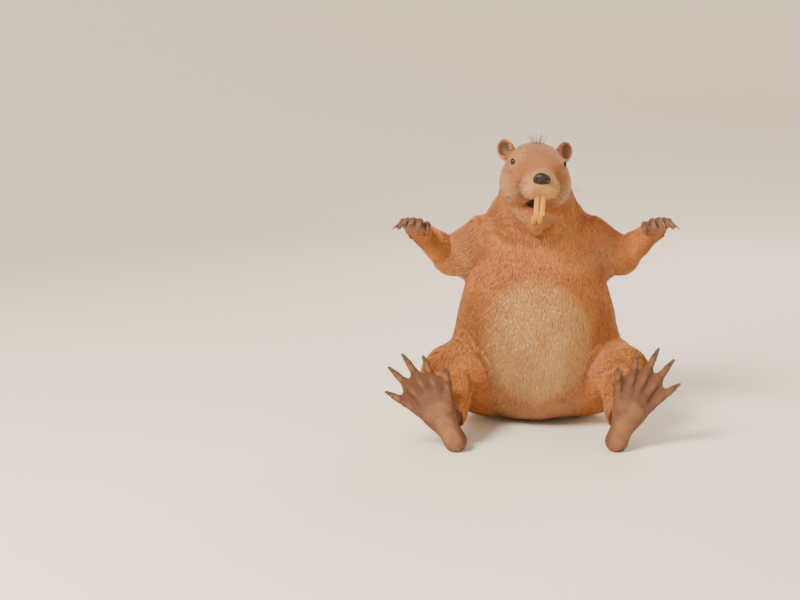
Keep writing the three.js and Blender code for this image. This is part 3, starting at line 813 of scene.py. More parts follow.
def tail_leaf(t):
    """Half the tail's width as a share of its greatest, from its root at 0 to its end at 1."""
    away = np.where(t < TAIL_WIDEST, (TAIL_WIDEST - t) / TAIL_TO_ROOT, (t - TAIL_WIDEST) / TAIL_TO_END)
    return np.sqrt(np.clip(1 - np.abs(away) ** TAIL_FULLNESS, 0.0, 1))


tail_low, tail_high = (np.array(corner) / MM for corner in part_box("tail"))


def tail_sizes(y):
    """Half width, half depth and middle height of the paddle at y, all in millimetres."""
    t = np.clip((y - tail_low[1]) / (tail_high[1] - tail_low[1]), 0, 1)
    return tail_high[0] * tail_leaf(t), 12.5 - 9.4 * t**0.8, 14.2 - 10.4 * t**0.8


def tail_shape(p):
    """The paddle in millimetres, in the model's own frame."""
    half_width, half_depth, centre = tail_sizes(p[..., 1])
    x, z = p[..., 0], p[..., 2] - centre
    spine = 1 + 0.22 * np.exp(-((x / 13) ** 2)) * (z > 0)
    sideways, upward = np.abs(x / np.maximum(half_width, 1)), np.abs(z / (half_depth * spine))
    round_part = (sideways**TAIL_SQUARENESS + upward**TAIL_SQUARENESS) ** (1 / TAIL_SQUARENESS)
    sheet = (round_part - 1) * half_depth
    return np.maximum(sheet, np.maximum(p[..., 1] - tail_high[1] + 0.5, tail_low[1] - 6 - p[..., 1]))


low, high = box_round(["tail"], 0.008)
low[1] = TAIL_CUT[0][1] - 0.024
tail_block = Block(low, high, TAIL_VOXEL)
points = tail_block.points()
tail_values = melt(tail_shape(points / MM32), body_skin(points), 22)
tail_values = np.maximum(tail_values, TAIL_GAP - points[..., 2] / MM32)
zones["tail"] = (tail_block, ended(tail_values, -past(points, TAIL_CUT)))
print("tail:", tail_block.shape, "half width", round(float(tail_high[0]), 1), "mm")

# %% [markdown]
# ## Weld one skin
# Each block is drawn as a closed mesh, and a union joins them. The union keeps every piece's own faces,
# so the face and the paws keep their fine mesh while the trunk stays coarse under its long coat.

# %% Weld the skin
def mesh_from(name, corners, faces):
    """A mesh from arrays of corners and of triangles or quads."""
    mesh = bpy.data.meshes.new(name)
    counts = [len(kind) for kind in faces]
    sides = np.concatenate([np.full(n, kind.shape[1] if n else 3) for n, kind in zip(counts, faces)])
    loops = np.concatenate([np.asarray(kind).ravel() for kind in faces]).astype(np.int32)
    mesh.vertices.add(len(corners))
    mesh.vertices.foreach_set("co", np.asarray(corners, np.float32).ravel())
    mesh.loops.add(len(loops))
    mesh.loops.foreach_set("vertex_index", loops)
    mesh.polygons.add(len(sides))
    mesh.polygons.foreach_set("loop_start", (np.cumsum(sides) - sides).astype(np.int32))
    mesh.update(calc_edges=True)
    mesh.validate()
    return mesh


def drawn(name, block, values, keep):
    """The closed surface of a block as an object. A share of its faces is kept, most where it bends."""
    corners, triangles, quads = block.surface(values * MM32)
    mesh = mesh_from(name, corners, [triangles.reshape(-1, 3), quads.reshape(-1, 4)])
    thing = put_in_scene(name, mesh)
    fewer = thing.modifiers.new("fewer", "DECIMATE")
    fewer.ratio = keep
    evaluated(thing)
    return thing


def evaluated(thing):
    """Applies all the modifiers of an object."""
    graph = bpy.context.evaluated_depsgraph_get()
    mesh = bpy.data.meshes.new_from_object(thing.evaluated_get(graph))
    thing.modifiers.clear()
    thing.data = mesh


KEPT_FACES = {"head": 0.56, "hind_foot": 0.5, "front_paw": 0.5, "tail": 0.3, "body": 0.5}
skin = drawn("skin", body_block, body_skin_values, KEPT_FACES["body"])
ends = []
for name, (block, values) in zones.items():
    keep = next(share for part, share in KEPT_FACES.items() if name.startswith(part))
    ends.append(drawn(f"end_{name}", block, values, keep))
for end in ends:
    weld = skin.modifiers.new("weld", "BOOLEAN")
    weld.operation = "UNION"
    weld.solver = "MANIFOLD"
    weld.object = end
print("before the weld:", [len(thing.data.polygons) for thing in (skin, *ends)])
evaluated(skin)
for end in ends:
    bpy.data.objects.remove(end)
skin.data.shade_smooth()
print("skin:", len(skin.data.vertices), "corners,", len(skin.data.polygons), "faces")

# %% [markdown]
# ## Where the skin is bare, scaly, pale or dark
# Fur, leather and scale meet on one skin, so each corner of it carries a few numbers between 0 and 1: how
# bare it is, how scaly, how much of the mouth's inside it is, and how pale its coat is. The coat's locks
# read the same numbers where they grow, so skin and coat always agree.

# %% The skin's corners and their numbers
BELLY = (0.0, -0.16, 0.172)
BELLY_SIZE = (0.092, 0.12, 0.112)
BACK_Y = (-0.02, 0.09)


def on_both_sides(p):
    """Points with |x|, for shapes that both sides share."""
    return np.abs(p * (1, 0, 0)) + p * (0, 1, 1)


def near_eye(p):
    """Distance from the middle of the nearer eye, in the head's frame."""
    return np.linalg.norm(on_both_sides(p) - EYE_AT, axis=-1)


def beside_eye(p):
    """Distance from the axis of the nearer eye, in the head's frame."""
    from_middle = on_both_sides(p) - EYE_AT
    return np.linalg.norm(from_middle - (from_middle @ EYE_OUT)[..., None] * EYE_OUT, axis=-1)


def in_cup(p):
    """How deep in the cup of an ear, 1 well inside."""
    inside = 0
    for way in SIDES.values():
        r = in_ear(p, way)
        inside = np.maximum(inside, ramp(ball(r, *EAR_CUP), 1.2, 0.2) * (r[..., 1] < 4))
    return inside


def ellipse(p, centre, sizes):
    """Distance from a centre as a share of an ellipse's half sizes."""
    return np.linalg.norm((p - centre) / sizes, axis=-1)


def face_markings(points):
    """The numbers of the head's own skin: nose, lids, gums, mouth and ears."""
    p = local(points, head_place)
    q = on_both_sides(p)
    in_head = past(points, NECK_CUT) > -20
    nose = np.minimum(ball(q, *NOSE_BALL), ball(q, *NOSE_WING))
    nose = ramp(nose, 1.9, 0.9) * (q[..., 1] < -74)
    lid = ramp(near_eye(p), EYE_RADIUS + 1.9, EYE_RADIUS + 1.0)
    upper_gum = ball(q, (0, -66, -21), (9.5, 8.5, 6.5)) + 40.0 * (q[..., 2] > -24)
    lower_gum = ball(in_jaw(q), (0, -57, -37), (9.2, 5.4, 4.8)) + 40.0 * (in_jaw(q)[..., 2] < -36.5)
    mouth = np.minimum.reduce([mouth_hollow(q) - 0.4, upper_gum, lower_gum])
    mouth = ramp(mouth, 1.1, 0.2)
    cup = in_cup(p)
    muzzle = ramp(ellipse(q, (0, -72, -14), (33, 36, 30)), 1.25, 0.7)
    cheek = 0.5 * ramp(ellipse(q, (52, -12, -22), (26, 40, 26)), 1.3, 0.5)
    around_eye = 0.5 * ramp(near_eye(p), 20, 12)
    crown = ramp(q[..., 2], 30, 55) * ramp(q[..., 1], -50, 0) * ramp(past(points, NECK_CUT), 8, 50)
    numbers = {
        "bare": np.maximum.reduce([nose, lid, mouth, 0.88 * cup]),
        "mouth": mouth,
        # the ear's cup is darker: partly its own dark skin, partly painted shade in its hollow
        "black": np.maximum.reduce([nose, 0.8 * lid, 0.45 * cup]),
        "creased": np.maximum(0.35 * nose, 0.1 * lid),
        "pale": np.maximum.reduce([muzzle, cheek, around_eye]),
        "dark": 0.6 * crown,
    }
    return {name: value * in_head for name, value in numbers.items()}


def foot_markings(points, side):
    """The numbers of one hind foot: leather all over, and paler where it is padded."""
    foot = local(points, foot_places[side])
    close = ellipse(foot, (0, 70, 0), (125, 125, 125)) < 1
    above = ramp(past(points, ankle_cuts[side]), 24, 34)
    toes = ramp(foot[..., 1], 52, 72) * (np.abs(foot[..., 2]) < 15)
    bare = close * np.maximum.reduce([above, toes, ramp(foot[..., 2], 4, -3)])
    sole = ramp(ellipse(foot[..., :2], (0, 24), (17, 46)), 1.15, 0.55)
    sole = np.maximum(sole, 0.7 * ramp(ellipse(foot[..., :2], (2, 57), (26, 17)), 1.2, 0.5))
    for i in range(5):
        for part, wide in ((0.86, 5.6), (0.48, 5.0)):
            pad = ramp(ellipse(foot[..., :2], on_toe(i, part)[:2], (wide, wide * 1.5)), 1.2, 0.4)
            sole = np.maximum(sole, 0.5 * pad)
    underside = ramp(foot[..., 2], 1, -6) * close
    return {"bare": bare, "creased": bare, "sole": (0.2 + 0.8 * sole) * underside * bare}


def paw_markings(points, side):
    """The numbers of one front paw."""
    paw = local(points, paw_places[side])
    close = ellipse(paw, (0, 30, 0), (62, 62, 62)) < 1
    back_of_paw = ramp(paw[..., 2], -3, 6) * ramp(paw[..., 0], 13, 3)
    bare = close * ramp(past(points, wrist_cuts[side]) - 11 * back_of_paw, 33, 43 + 8 * back_of_paw)
    return {"bare": bare, "creased": 0.7 * bare, "sole": 0.8 * bare * ramp(paw[..., 2], 1, -7)}


def markings(points):
    """All the skin's numbers at any points."""
    scaly = ramp(past(points, TAIL_CUT), 14, 32)
    belly = ramp(ellipse(points, BELLY, BELLY_SIZE), 1.24, 0.72) * (points[..., 1] < 0)
    back = ramp(points[..., 1], *BACK_Y) * (1 - scaly)
    numbers = {name: np.zeros(len(points), np.float32) for name in ("mouth", "black", "sole", "creased")}
    numbers |= {"bare": scaly, "scaly": scaly, "pale": belly, "dark": back}
    layers = [face_markings(points)]
    layers += [mark(points, side) for side in SIDES for mark in (foot_markings, paw_markings)]
    for layer in layers:
        for name, value in layer.items():
            numbers[name] = np.maximum(numbers[name], value)
    return numbers


def add_numbers(mesh, numbers):
    """Stores numbers on a mesh's corners for its material to read."""
    for name, value in numbers.items():
        stored = mesh.attributes.new(name, "FLOAT", "POINT")
        stored.data.foreach_set("value", np.asarray(value, np.float32).ravel())


UNDERWOOL = {"tip": 0.42, "vary": 0.5}  # the skin's place in the coat's range of colours
skin_corners = corners_of(skin.data)
skin_numbers = markings(skin_corners)
add_numbers(skin.data, skin_numbers | {k: np.full(len(skin_corners), v) for k, v in UNDERWOOL.items()})
means = {name: round(float(value.mean()), 3) for name, value in skin_numbers.items()}
print("share of the skin's corners that is", means)

# %% [markdown]
# ## Colours of coat and skin
# Each hair of a beaver is dark at its root and golden to chestnut at its tip. So the coat's colour runs
# along each lock; its darker roots are also painted shade, for the shade deep in the coat. The same group
# of nodes colours the skin underneath as if it were all root. The belly, the muzzle and the cheeks are
# paler, the back is darker, and slow noise breaks up any flat field.

# %% A group of nodes for the coat's colour
def linear(red, green, blue):
    """A colour given as on a screen, 0 to 255, as light."""
    shares = [c / 255 for c in (red, green, blue)]
    return tuple(((c + 0.055) / 1.055) ** 2.4 if c > 0.04 else c / 12.92 for c in shares) + (1,)


# Root to tip: the hair's own colours, and the darker root is also painted shade deep in the coat
COAT_ROOT, COAT_BODY, COAT_TIP = linear(146, 84, 44), linear(168, 96, 46), linear(214, 144, 80)
PALE_ROOT, PALE_BODY, PALE_TIP = linear(188, 132, 78), linear(208, 152, 92), linear(236, 192, 130)
DARK_ROOT, DARK_TIP = linear(64, 34, 19), linear(124, 66, 33)


def mix_colour(tree, share, a, b):
    """Mixes two colours; each may be a socket or a plain colour."""
    mix = tree.nodes.new("ShaderNodeMix")
    mix.data_type = "RGBA"
    for socket, kind, value in (("Factor", "VALUE", share), ("A", "RGBA", a), ("B", "RGBA", b)):
        target = next(s for s in mix.inputs if s.name == socket and s.type == kind)
        if isinstance(value, bpy.types.NodeSocket):
            tree.links.new(value, target)
        else:
            target.default_value = value
    return next(s for s in mix.outputs if s.type == "RGBA")


def maths(tree, operation, a, b, clamp=False):
    """One sum; each side may be a socket or a number."""
    sum_node = tree.nodes.new("ShaderNodeMath")
    sum_node.operation = operation
    sum_node.use_clamp = clamp
    for index, value in enumerate((a, b)):
        if isinstance(value, bpy.types.NodeSocket):
            tree.links.new(value, sum_node.inputs[index])
        else:
            sum_node.inputs[index].default_value = value
    return sum_node.outputs[0]


def plus(tree, a, b, clamp=False):
    return maths(tree, "ADD", a, b, clamp)


def minus(tree, a, b, clamp=False):
    return maths(tree, "SUBTRACT", a, b, clamp)


def times(tree, a, b, clamp=False):
    return maths(tree, "MULTIPLY", a, b, clamp)


def number(tree, name):
    """A number stored on the mesh."""
    reader = tree.nodes.new("ShaderNodeAttribute")
    reader.attribute_name = name
    return reader.outputs["Fac"]


def noise(tree, scale, detail=2.0, kind="ShaderNodeTexNoise", edges=False, upright=1.0):
    """Noise in the object's own space; scale is in waves per metre, upright below 1 draws it out along Z.
    edges gives the distance to cell edges."""
    place = tree.nodes.new("ShaderNodeTexCoord")
    stretch = tree.nodes.new("ShaderNodeMapping")
    stretch.inputs["Scale"].default_value = (1.0, 1.0, upright)
    tree.links.new(place.outputs["Object"], stretch.inputs["Vector"])
    texture = tree.nodes.new(kind)
    if edges:
        texture.feature = "DISTANCE_TO_EDGE"
    texture.inputs["Scale"].default_value = scale
    if "Detail" in texture.inputs:
        texture.inputs["Detail"].default_value = detail
    tree.links.new(stretch.outputs["Vector"], texture.inputs["Vector"])
    return texture.outputs[0]


def make_coat_group():
    """The coat's colour from how far along its lock a point is, and how pale and dark the place is."""
    tree = bpy.data.node_groups.new("coat colour", "ShaderNodeTree")
    tree.interface.new_socket("Colour", in_out="OUTPUT", socket_type="NodeSocketColor")
    out = tree.nodes.new("NodeGroupOutput")
    tip = number(tree, "tip")
    up_to_half = times(tree, tip, 2.0, clamp=True)
    past_half = minus(tree, times(tree, tip, 2.0), 1.0, clamp=True)
    ruddy = mix_colour(tree, past_half, mix_colour(tree, up_to_half, COAT_ROOT, COAT_BODY), COAT_TIP)
    cream = mix_colour(tree, past_half, mix_colour(tree, up_to_half, PALE_ROOT, PALE_BODY), PALE_TIP)
    slow = minus(tree, noise(tree, 22.0), 0.5)
    paler = plus(tree, number(tree, "pale"), times(tree, slow, 0.5), clamp=True)
    paler = times(tree, paler, times(tree, number(tree, "pale"), 4.0, clamp=True))
    colour = mix_colour(tree, paler, ruddy, cream)
    darker = times(tree, number(tree, "dark"), 0.5)
    colour = mix_colour(tree, darker, colour, mix_colour(tree, past_half, DARK_ROOT, DARK_TIP))
    vary = plus(tree, minus(tree, number(tree, "vary"), 0.5), times(tree, slow, 1.2))
    bright = tree.nodes.new("ShaderNodeHueSaturation")
    tree.links.new(colour, bright.inputs["Color"])
    tree.links.new(plus(tree, times(tree, vary, 0.34), 1.0), bright.inputs["Value"])
    tree.links.new(plus(tree, times(tree, slow, 0.03), 0.5), bright.inputs["Hue"])
    tree.links.new(bright.outputs["Color"], out.inputs["Colour"])
    return tree


coat_group = make_coat_group()


def new_material(name, **sockets):
    """A material with a Principled shader. Sockets that are the same all over are set here."""
    material = bpy.data.materials.new(name)
    material.use_nodes = True
    shader = material.node_tree.nodes["Principled BSDF"]
    for key, value in sockets.items():
        shader.inputs[key.replace("_", " ")].default_value = value
    return material, material.node_tree, shader


def bump(tree, shader, height, depth, under=None):
    """Adds fine relief, in metres, to a shader."""
    relief = tree.nodes.new("ShaderNodeBump")
    relief.inputs["Distance"].default_value = depth
    relief.inputs["Strength"].default_value = 1.0
    tree.links.new(height, relief.inputs["Height"])
    if under is not None:
        tree.links.new(under, relief.inputs["Normal"])
    tree.links.new(relief.outputs["Normal"], shader.inputs["Normal"])
    return relief.outputs["Normal"]


def coat_colour(tree):
    """The coat's colour, as one node in a material's tree."""
    group = tree.nodes.new("ShaderNodeGroup")
    group.node_tree = coat_group
    return group.outputs["Colour"]


def make_coat_material():
    """Soft hair that shines a little where it is seen at a low angle."""
    material, tree, shader = new_material(
        "coat",
        Roughness=0.62,
        Sheen_Weight=0.22,
        Sheen_Roughness=0.45,
        Sheen_Tint=(1.0, 0.82, 0.62, 1),
        Specular_IOR_Level=0.3,
    )
    tree.links.new(coat_colour(tree), shader.inputs["Base Color"])
    return material


def make_skin_material():
    """Underwool, leather, scale and gum on one skin, with painted shade in the creases and in the mouth."""
    material, tree, shader = new_material("skin", Specular_IOR_Level=0.4)
    leather = mix_colour(tree, noise(tree, 60.0, 4.0), linear(72, 43, 28), linear(118, 72, 46))
    pads = mix_colour(tree, noise(tree, 90.0, 3.0), linear(122, 76, 48), linear(172, 116, 76))
    leather = mix_colour(tree, number(tree, "sole"), leather, pads)
    # painted shade: the leather is darker along the creases between its cells, where their shade falls
    cells = noise(tree, 640.0, kind="ShaderNodeTexVoronoi", edges=True)
    crease_shade = minus(tree, 1.0, times(tree, cells, 7.0), clamp=True)
    crease_shade = times(tree, crease_shade, times(tree, number(tree, "creased"), 0.55))
    leather = mix_colour(tree, crease_shade, leather, linear(64, 38, 27))
    leather = mix_colour(tree, number(tree, "black"), leather, linear(30, 24, 22))
    tail = mix_colour(tree, noise(tree, 45.0, 4.0), linear(50, 40, 34), linear(74, 61, 53))
    bare = mix_colour(tree, number(tree, "scaly"), leather, tail)
    # painted shadow: the mouth's inside is its own dark red, made near black-brown for the shadow that
    # fills it
    mouth_shade = mix_colour(tree, noise(tree, 120.0), linear(40, 16, 14), linear(66, 28, 24))
    bare = mix_colour(tree, number(tree, "mouth"), bare, mouth_shade)
    shown = times(tree, minus(tree, number(tree, "bare"), 0.4), 3.0, clamp=True)
    colour = mix_colour(tree, shown, coat_colour(tree), bare)
    tree.links.new(colour, shader.inputs["Base Color"])
    rough = minus(tree, 0.85, times(tree, number(tree, "bare"), 0.24))
    rough = minus(tree, rough, times(tree, number(tree, "black"), 0.2))
    tree.links.new(rough, shader.inputs["Roughness"])
    wool = times(tree, noise(tree, 700.0, 3.0), minus(tree, 1.0, number(tree, "bare")))
    under = bump(tree, shader, wool, 0.0012)
    creases = times(tree, maths(tree, "MINIMUM", cells, 0.16), number(tree, "creased"))
    grain = times(tree, noise(tree, 300.0, 4.0), times(tree, number(tree, "bare"), 0.22))
    bump(tree, shader, plus(tree, creases, grain), 0.0022, under)
    return material


skin.data.materials.clear()
skin.data.materials.append(make_skin_material())
coat_material = make_coat_material()
print("materials:", [m.name for m in bpy.data.materials])

# %% [markdown]
# ## The lie of the coat
# A coat has a direction everywhere. It runs from the nose over the head, down the neck and trunk, and out
# along each limb to its end. Each part of the body has one direction, mixed at the borders and laid flat
# on the skin. Slow waves turn it a little, as real fur parts and swirls, and each lock strays by itself.

# %% Directions
NOSE_FROM = np.array([0, -86, 2], np.float32)


def head_lie(points):
    """Backwards from the nose, spreading over the cheeks and brow."""
    p = local(points, head_place)
    away = p - NOSE_FROM
    flow = np.stack([0.75 * away[:, 0], np.abs(away[:, 1]) * 0.5 + 30, 0.55 * away[:, 2] - 5], axis=1)
    return unit_rows(flow) @ head_place[:3, :3].T


def trunk_lie(points):
    """Down the trunk, and backwards under it."""
    low = ramp(points[:, 2], 0.11, 0.02)
    back = ramp(points[:, 1], *BACK_Y)
    flow = np.stack([0.9 * points[:, 0], 0.25 * back + 0.5 * low - 0.05, -1 + 0.35 * low], axis=1)
    return unit_rows(flow)


def toward(start, end):
    """The way from one point to another."""
    return np.array(unit(end - start), np.float32)


def part_lie(part, points):
    """The direction that the coat of one part runs in, at each point."""
    if part in ("head", "lower_jaw"):
        return head_lie(points)
    if part == "trunk":
        return trunk_lie(points)
    fixed = {"neck": (0, 0.1, -1), "tail_root": (0, 1, -0.35), "tail": (0, 1, 0)}
    if part in fixed:
        return np.broadcast_to(np.float32(unit(fixed[part])), points.shape)
    ways = {}
    for side, way in SIDES.items():
        wrist, ankle = at(paw_places[side], 0, 0, 0), at(foot_places[side], 9, 33, 24)
        thigh, shank, upper_arm, forearm = (
            mean_of(f"{name}_{side}") for name in ("thigh", "shank", "upper_arm", "forearm")
        )
        ways[side] = {
            "thigh": toward(thigh, shank) + np.float32([0, 0, -0.45]),
            "shank": toward(shank, ankle),
            "upper_arm": toward(upper_arm, forearm) + np.float32([0, 0, -0.3]),
            "forearm": toward(forearm, wrist),
            "ear": head_place[:3, :3] @ np.float32([way * 0.45, 0, 0.9]),
            "hind_foot": foot_places[side][:3, 1],
            "front_paw": paw_places[side][:3, 1],
        }[part]
    return np.where(points[:, :1] > 0, ways["left"], ways["right"]).astype(np.float32)


WAVES = 7
WAVES_PEAK = 2.6  # about as high as so many waves reach together


def slow_waves(points, length, seed):
    """A smooth random number about -1 to 1 whose waves are about `length` metres long."""
    wave_rng = np.random.default_rng(seed)
    total = np.zeros(len(points), np.float32)
    for _ in range(WAVES):
        way = wave_rng.normal(size=3)
        way *= 2 * math.pi / (length * wave_rng.uniform(0.7, 1.5)) / np.linalg.norm(way)
        total += np.sin(points @ way.astype(np.float32) + np.float32(wave_rng.uniform(0, 2 * math.pi)))
    return total / WAVES_PEAK


def flat_on(vectors, normals):
    """Vectors laid flat on the surface and made unit."""
    return unit_rows(vectors - (vectors * normals).sum(axis=1, keepdims=True) * normals, 1e-6)


def lie_of_coat(points, normals, counts):
    """The direction of the coat at each point; counts says how much each part counts there."""
    flow = sum(counts[i][:, None] * part_lie(part, points) for i, part in enumerate(COAT))
    return flat_on(flow, normals)


# %% [markdown]
# ## Roots
# The locks' roots are spread over the skin in step with its area, closer where the coat is finer. Where
# the skin is bare no lock grows. Each root also takes its place on a flat unwrap of the skin, for the
# bake of its colour.

# %% Unwrap the skin, and spread the roots
bpy.context.view_layer.objects.active = skin
skin.select_set(True)
while skin.data.uv_layers:
    skin.data.uv_layers.remove(skin.data.uv_layers[0])
skin.data.uv_layers.new(name="OFBake")
bpy.ops.object.mode_set(mode="EDIT")
bpy.ops.mesh.select_all(action="SELECT")
bpy.ops.mesh.quads_convert_to_tris()
bpy.ops.uv.smart_project(angle_limit=math.radians(66), island_margin=0.001, area_weight=0.0)
bpy.ops.object.mode_set(mode="OBJECT")
skin_corners = corners_of(skin.data)
triangles = read_all(skin.data.loops, "vertex_index", 1, np.int32).reshape(-1, 3)
skin_uv = read_all(skin.data.uv_layers["OFBake"].data, "uv", 2).reshape(-1, 3, 2)
normals = read_all(skin.data.vertices, "normal", 3)
print("skin has", len(triangles), "triangles")

LOCKS = 248000
LOCK_BLEND = 0.006  # lengths, widths and directions of neighbouring parts mix over about this length
rng = np.random.default_rng(7)


def per_corner(values, which, mix):
    """Values at roots, from the corners of their triangles."""
    picked = values[triangles[which]]
    return (picked * mix[(...,) + (None,) * (picked.ndim - 2)]).sum(axis=1)


a, b, c = (skin_corners[triangles[:, k]] for k in range(3))
area = np.linalg.norm(np.cross(b - a, c - a), axis=1) / 2
centre = (a + b + c) / 3
counts = sampled_shares(centre, LOCK_BLEND)
width_here = sum(counts[i] * COAT[part][2] for i, part in enumerate(COAT))
bare_here = skin_numbers["bare"][triangles].mean(axis=1)
hidden = ramp(centre[:, 2], 0.004, 0.0015)
head_p = local(centre, head_place)
near_nose = ramp(np.linalg.norm(head_p - NOSE_FROM, axis=1), 110, 30)
fine_face = np.where(past(centre, NECK_CUT) > 0, near_nose, 0)
furred = 1 - ramp(bare_here, 0.6, 0.97)
wanted = area / (width_here * (1 - 0.30 * fine_face)) ** 1.6 * furred * (1 - hidden)
wanted *= 1 + 0.4 * counts[list(COAT).index("forearm")]
steps = np.cumsum(wanted)
picks = (np.arange(LOCKS) + rng.uniform(0, 1, LOCKS)) / LOCKS * steps[-1]
on = np.minimum(np.searchsorted(steps, picks), len(triangles) - 1)
u, v = rng.uniform(0, 1, (2, LOCKS)).astype(np.float32)
u, v = np.where(u + v > 1, 1 - u, u), np.where(u + v > 1, 1 - v, v)
mix = np.stack([1 - u - v, u, v], axis=1)
roots = per_corner(skin_corners, on, mix)
root_normals = unit_rows(per_corner(normals, on, mix))
root_uv = (skin_uv[on] * mix[..., None]).sum(axis=1)
root_numbers = {name: per_corner(value, on, mix) for name, value in skin_numbers.items()}
most = wanted.argmax()
per_square_metre = LOCKS * wanted[most] / steps[-1] / area[most]
print("locks per square centimetre, on the face with the most:", round(float(per_square_metre / 1e4), 1))

# %% [markdown]
# ## Locks
# A lock is a closed spike with three sides: wider than it is deep, raised at its middle, and bent so that
# it leaves the skin at a low angle and lies down on its neighbours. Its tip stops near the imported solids'
# surface, so the coat has the true outline. Roots that share a leader lean towards it, so the fur clumps
# as it really does.

# %% Grow the locks
LEAST_RISE = 0.8  # millimetres of coat that every lock reckons with, before it draws its own share
STEEPEST = 0.36  # the greatest rise of a tip, as a share of its lock's length
CLUMP = 18  # locks to a leader
LONGEST_LEAN = 0.35  # how far a tip may lean to its leader, as a share of its length
UNDER_OUTLINE = 0.0002  # a tip over the outline is brought back to about this far under it
MIDDLE_ALONG = 0.40  # where a lock is widest, as a share of its length
MIDDLE_RISE = 0.28  # how far it bulges there, as a share of its rise
KEEL = 0.32  # the height of the raised middle, as a share of the width
ROOT_DEPTH = 0.0008  # how deep a lock is rooted
TIP_CLEAR, MIDDLE_CLEAR, LOCK_CLEAR = 0.0008, 0.0012, 0.0004  # over the floor

counts = sampled_shares(roots, LOCK_BLEND)
lock_length = sum(counts[i] * COAT[part][1] for i, part in enumerate(COAT))
lock_width = sum(counts[i] * COAT[part][2] for i, part in enumerate(COAT))
head_p = local(roots, head_place)
on_head = ramp(past(roots, NECK_CUT), -12, 8)
from_nose = np.linalg.norm(head_p - NOSE_FROM, axis=1)
face_size = 0.42 + 0.58 * ramp(from_nose, 18, 105)
face_size *= 0.55 + 0.45 * ramp(near_eye(head_p), 9, 26)
size = 1 + (face_size - 1) * on_head
lock_length = lock_length * size * rng.uniform(0.68, 1.18, LOCKS)
lock_width = lock_width * (1 + 0.8 * (size - 1)) * rng.uniform(0.8, 1.2, LOCKS)
thin = ramp(root_numbers["bare"], 0.0, 0.8)
lock_length *= 1 - 0.55 * thin
lock_width *= 1 - 0.35 * thin

outline_block = Block(*box_round(flesh_nodes, 0.02), 0.003)
outline_all = union_of(outline_block, flesh_nodes, 0.03)
skin_depth = -outline_block.sample(outline_all, roots) / MM
coat_here = sum(counts[i] * COAT[part][0] for i, part in enumerate(COAT))
rise = np.clip(skin_depth, LEAST_RISE, 1.2 * coat_here) * rng.uniform(0.68, 1.0, LOCKS)
rise = np.minimum(rise, STEEPEST * lock_length)

flow = lie_of_coat(roots, root_normals, counts)
across = np.cross(root_normals, flow)
stray = 0.16 * slow_waves(roots, 0.07, 3) + 0.10 * slow_waves(roots, 0.022, 5) + rng.normal(0, 0.11, LOCKS)
flow = flow * np.cos(stray)[:, None] + across * np.sin(stray)[:, None]
across = np.cross(root_normals, flow)

reach = np.sqrt(np.maximum(lock_length**2 - rise**2, 1))
tips = roots + (flow * reach[:, None] + root_normals * rise[:, None]) * MM

leaders = rng.choice(LOCKS, LOCKS // CLUMP, replace=False)
tree = KDTree(len(leaders))
for index, which in enumerate(leaders):
    tree.insert(roots[which], index)
tree.balance()
leader_of = leaders[[tree.find(root)[1] for root in roots]]
pull = (0.30 * ramp(lock_length, 4, 14) * rng.uniform(-0.2, 1.2, LOCKS))[:, None]
lean = (tips[leader_of] - tips) * pull
lean_length = np.maximum(np.linalg.norm(lean, axis=1), 1e-9)
lean *= np.minimum(1, LONGEST_LEAN * lock_length * MM / lean_length)[:, None]
tips = tips + lean
over = outline_block.sample(outline_all, tips)
tips = tips - root_normals * np.clip(over + UNDER_OUTLINE, 0, 0.7 * rise * MM)[:, None]
tips[:, 2] = np.maximum(tips[:, 2], TIP_CLEAR)
middles = roots + (tips - roots) * MIDDLE_ALONG + root_normals * (rise * MIDDLE_RISE * MM)[:, None]
middles[:, 2] = np.maximum(middles[:, 2], MIDDLE_CLEAR)

EYE_OPENING = 6.4  # locks end at this distance from the axis of an eye
to_eye = beside_eye(head_p) - EYE_OPENING
tip_to_eye = beside_eye(local(tips, head_place)) - EYE_OPENING
over_eye = (on_head > 0.5) & (tip_to_eye < 0) & (near_eye(head_p) < 20)
kept = np.where(over_eye, np.clip(to_eye / np.maximum(to_eye - tip_to_eye, 0.01), 0.12, 1), 1)[:, None]
tips = roots + (tips - roots) * kept
middles = roots + (middles - roots) * kept

half = (lock_width * 0.5 * MM)[:, None]
keel = (lock_width * KEEL * MM)[:, None]
lifted = np.cross(unit_rows(tips - middles, 1e-9), across)
lifted *= np.sign((lifted * root_normals).sum(axis=1, keepdims=True))
buried = roots - root_normals * ROOT_DEPTH
raised = middles + lifted * keel
lock_points = np.stack([buried, middles - across * half, middles + across * half, raised, tips], axis=1)
lock_points = lock_points.astype(np.float32)
lock_points[..., 2] = np.maximum(lock_points[..., 2], LOCK_CLEAR)
LOCK_FACES = np.array([[1, 4, 3], [2, 3, 4], [1, 2, 4], [1, 3, 0], [2, 0, 3], [1, 0, 2]])
# how far along its lock each corner lies; the coat darkens towards the root, partly as painted shade
LOCK_TIP = np.array([0.0, 0.42, 0.42, 0.5, 1.0], np.float32)
PER_LOCK = len(LOCK_TIP)
mean_length, mean_width = round(float(lock_length.mean()), 1), round(float(lock_width.mean()), 2)
print("mean lock:", mean_length, "mm long,", mean_width, "mm wide")

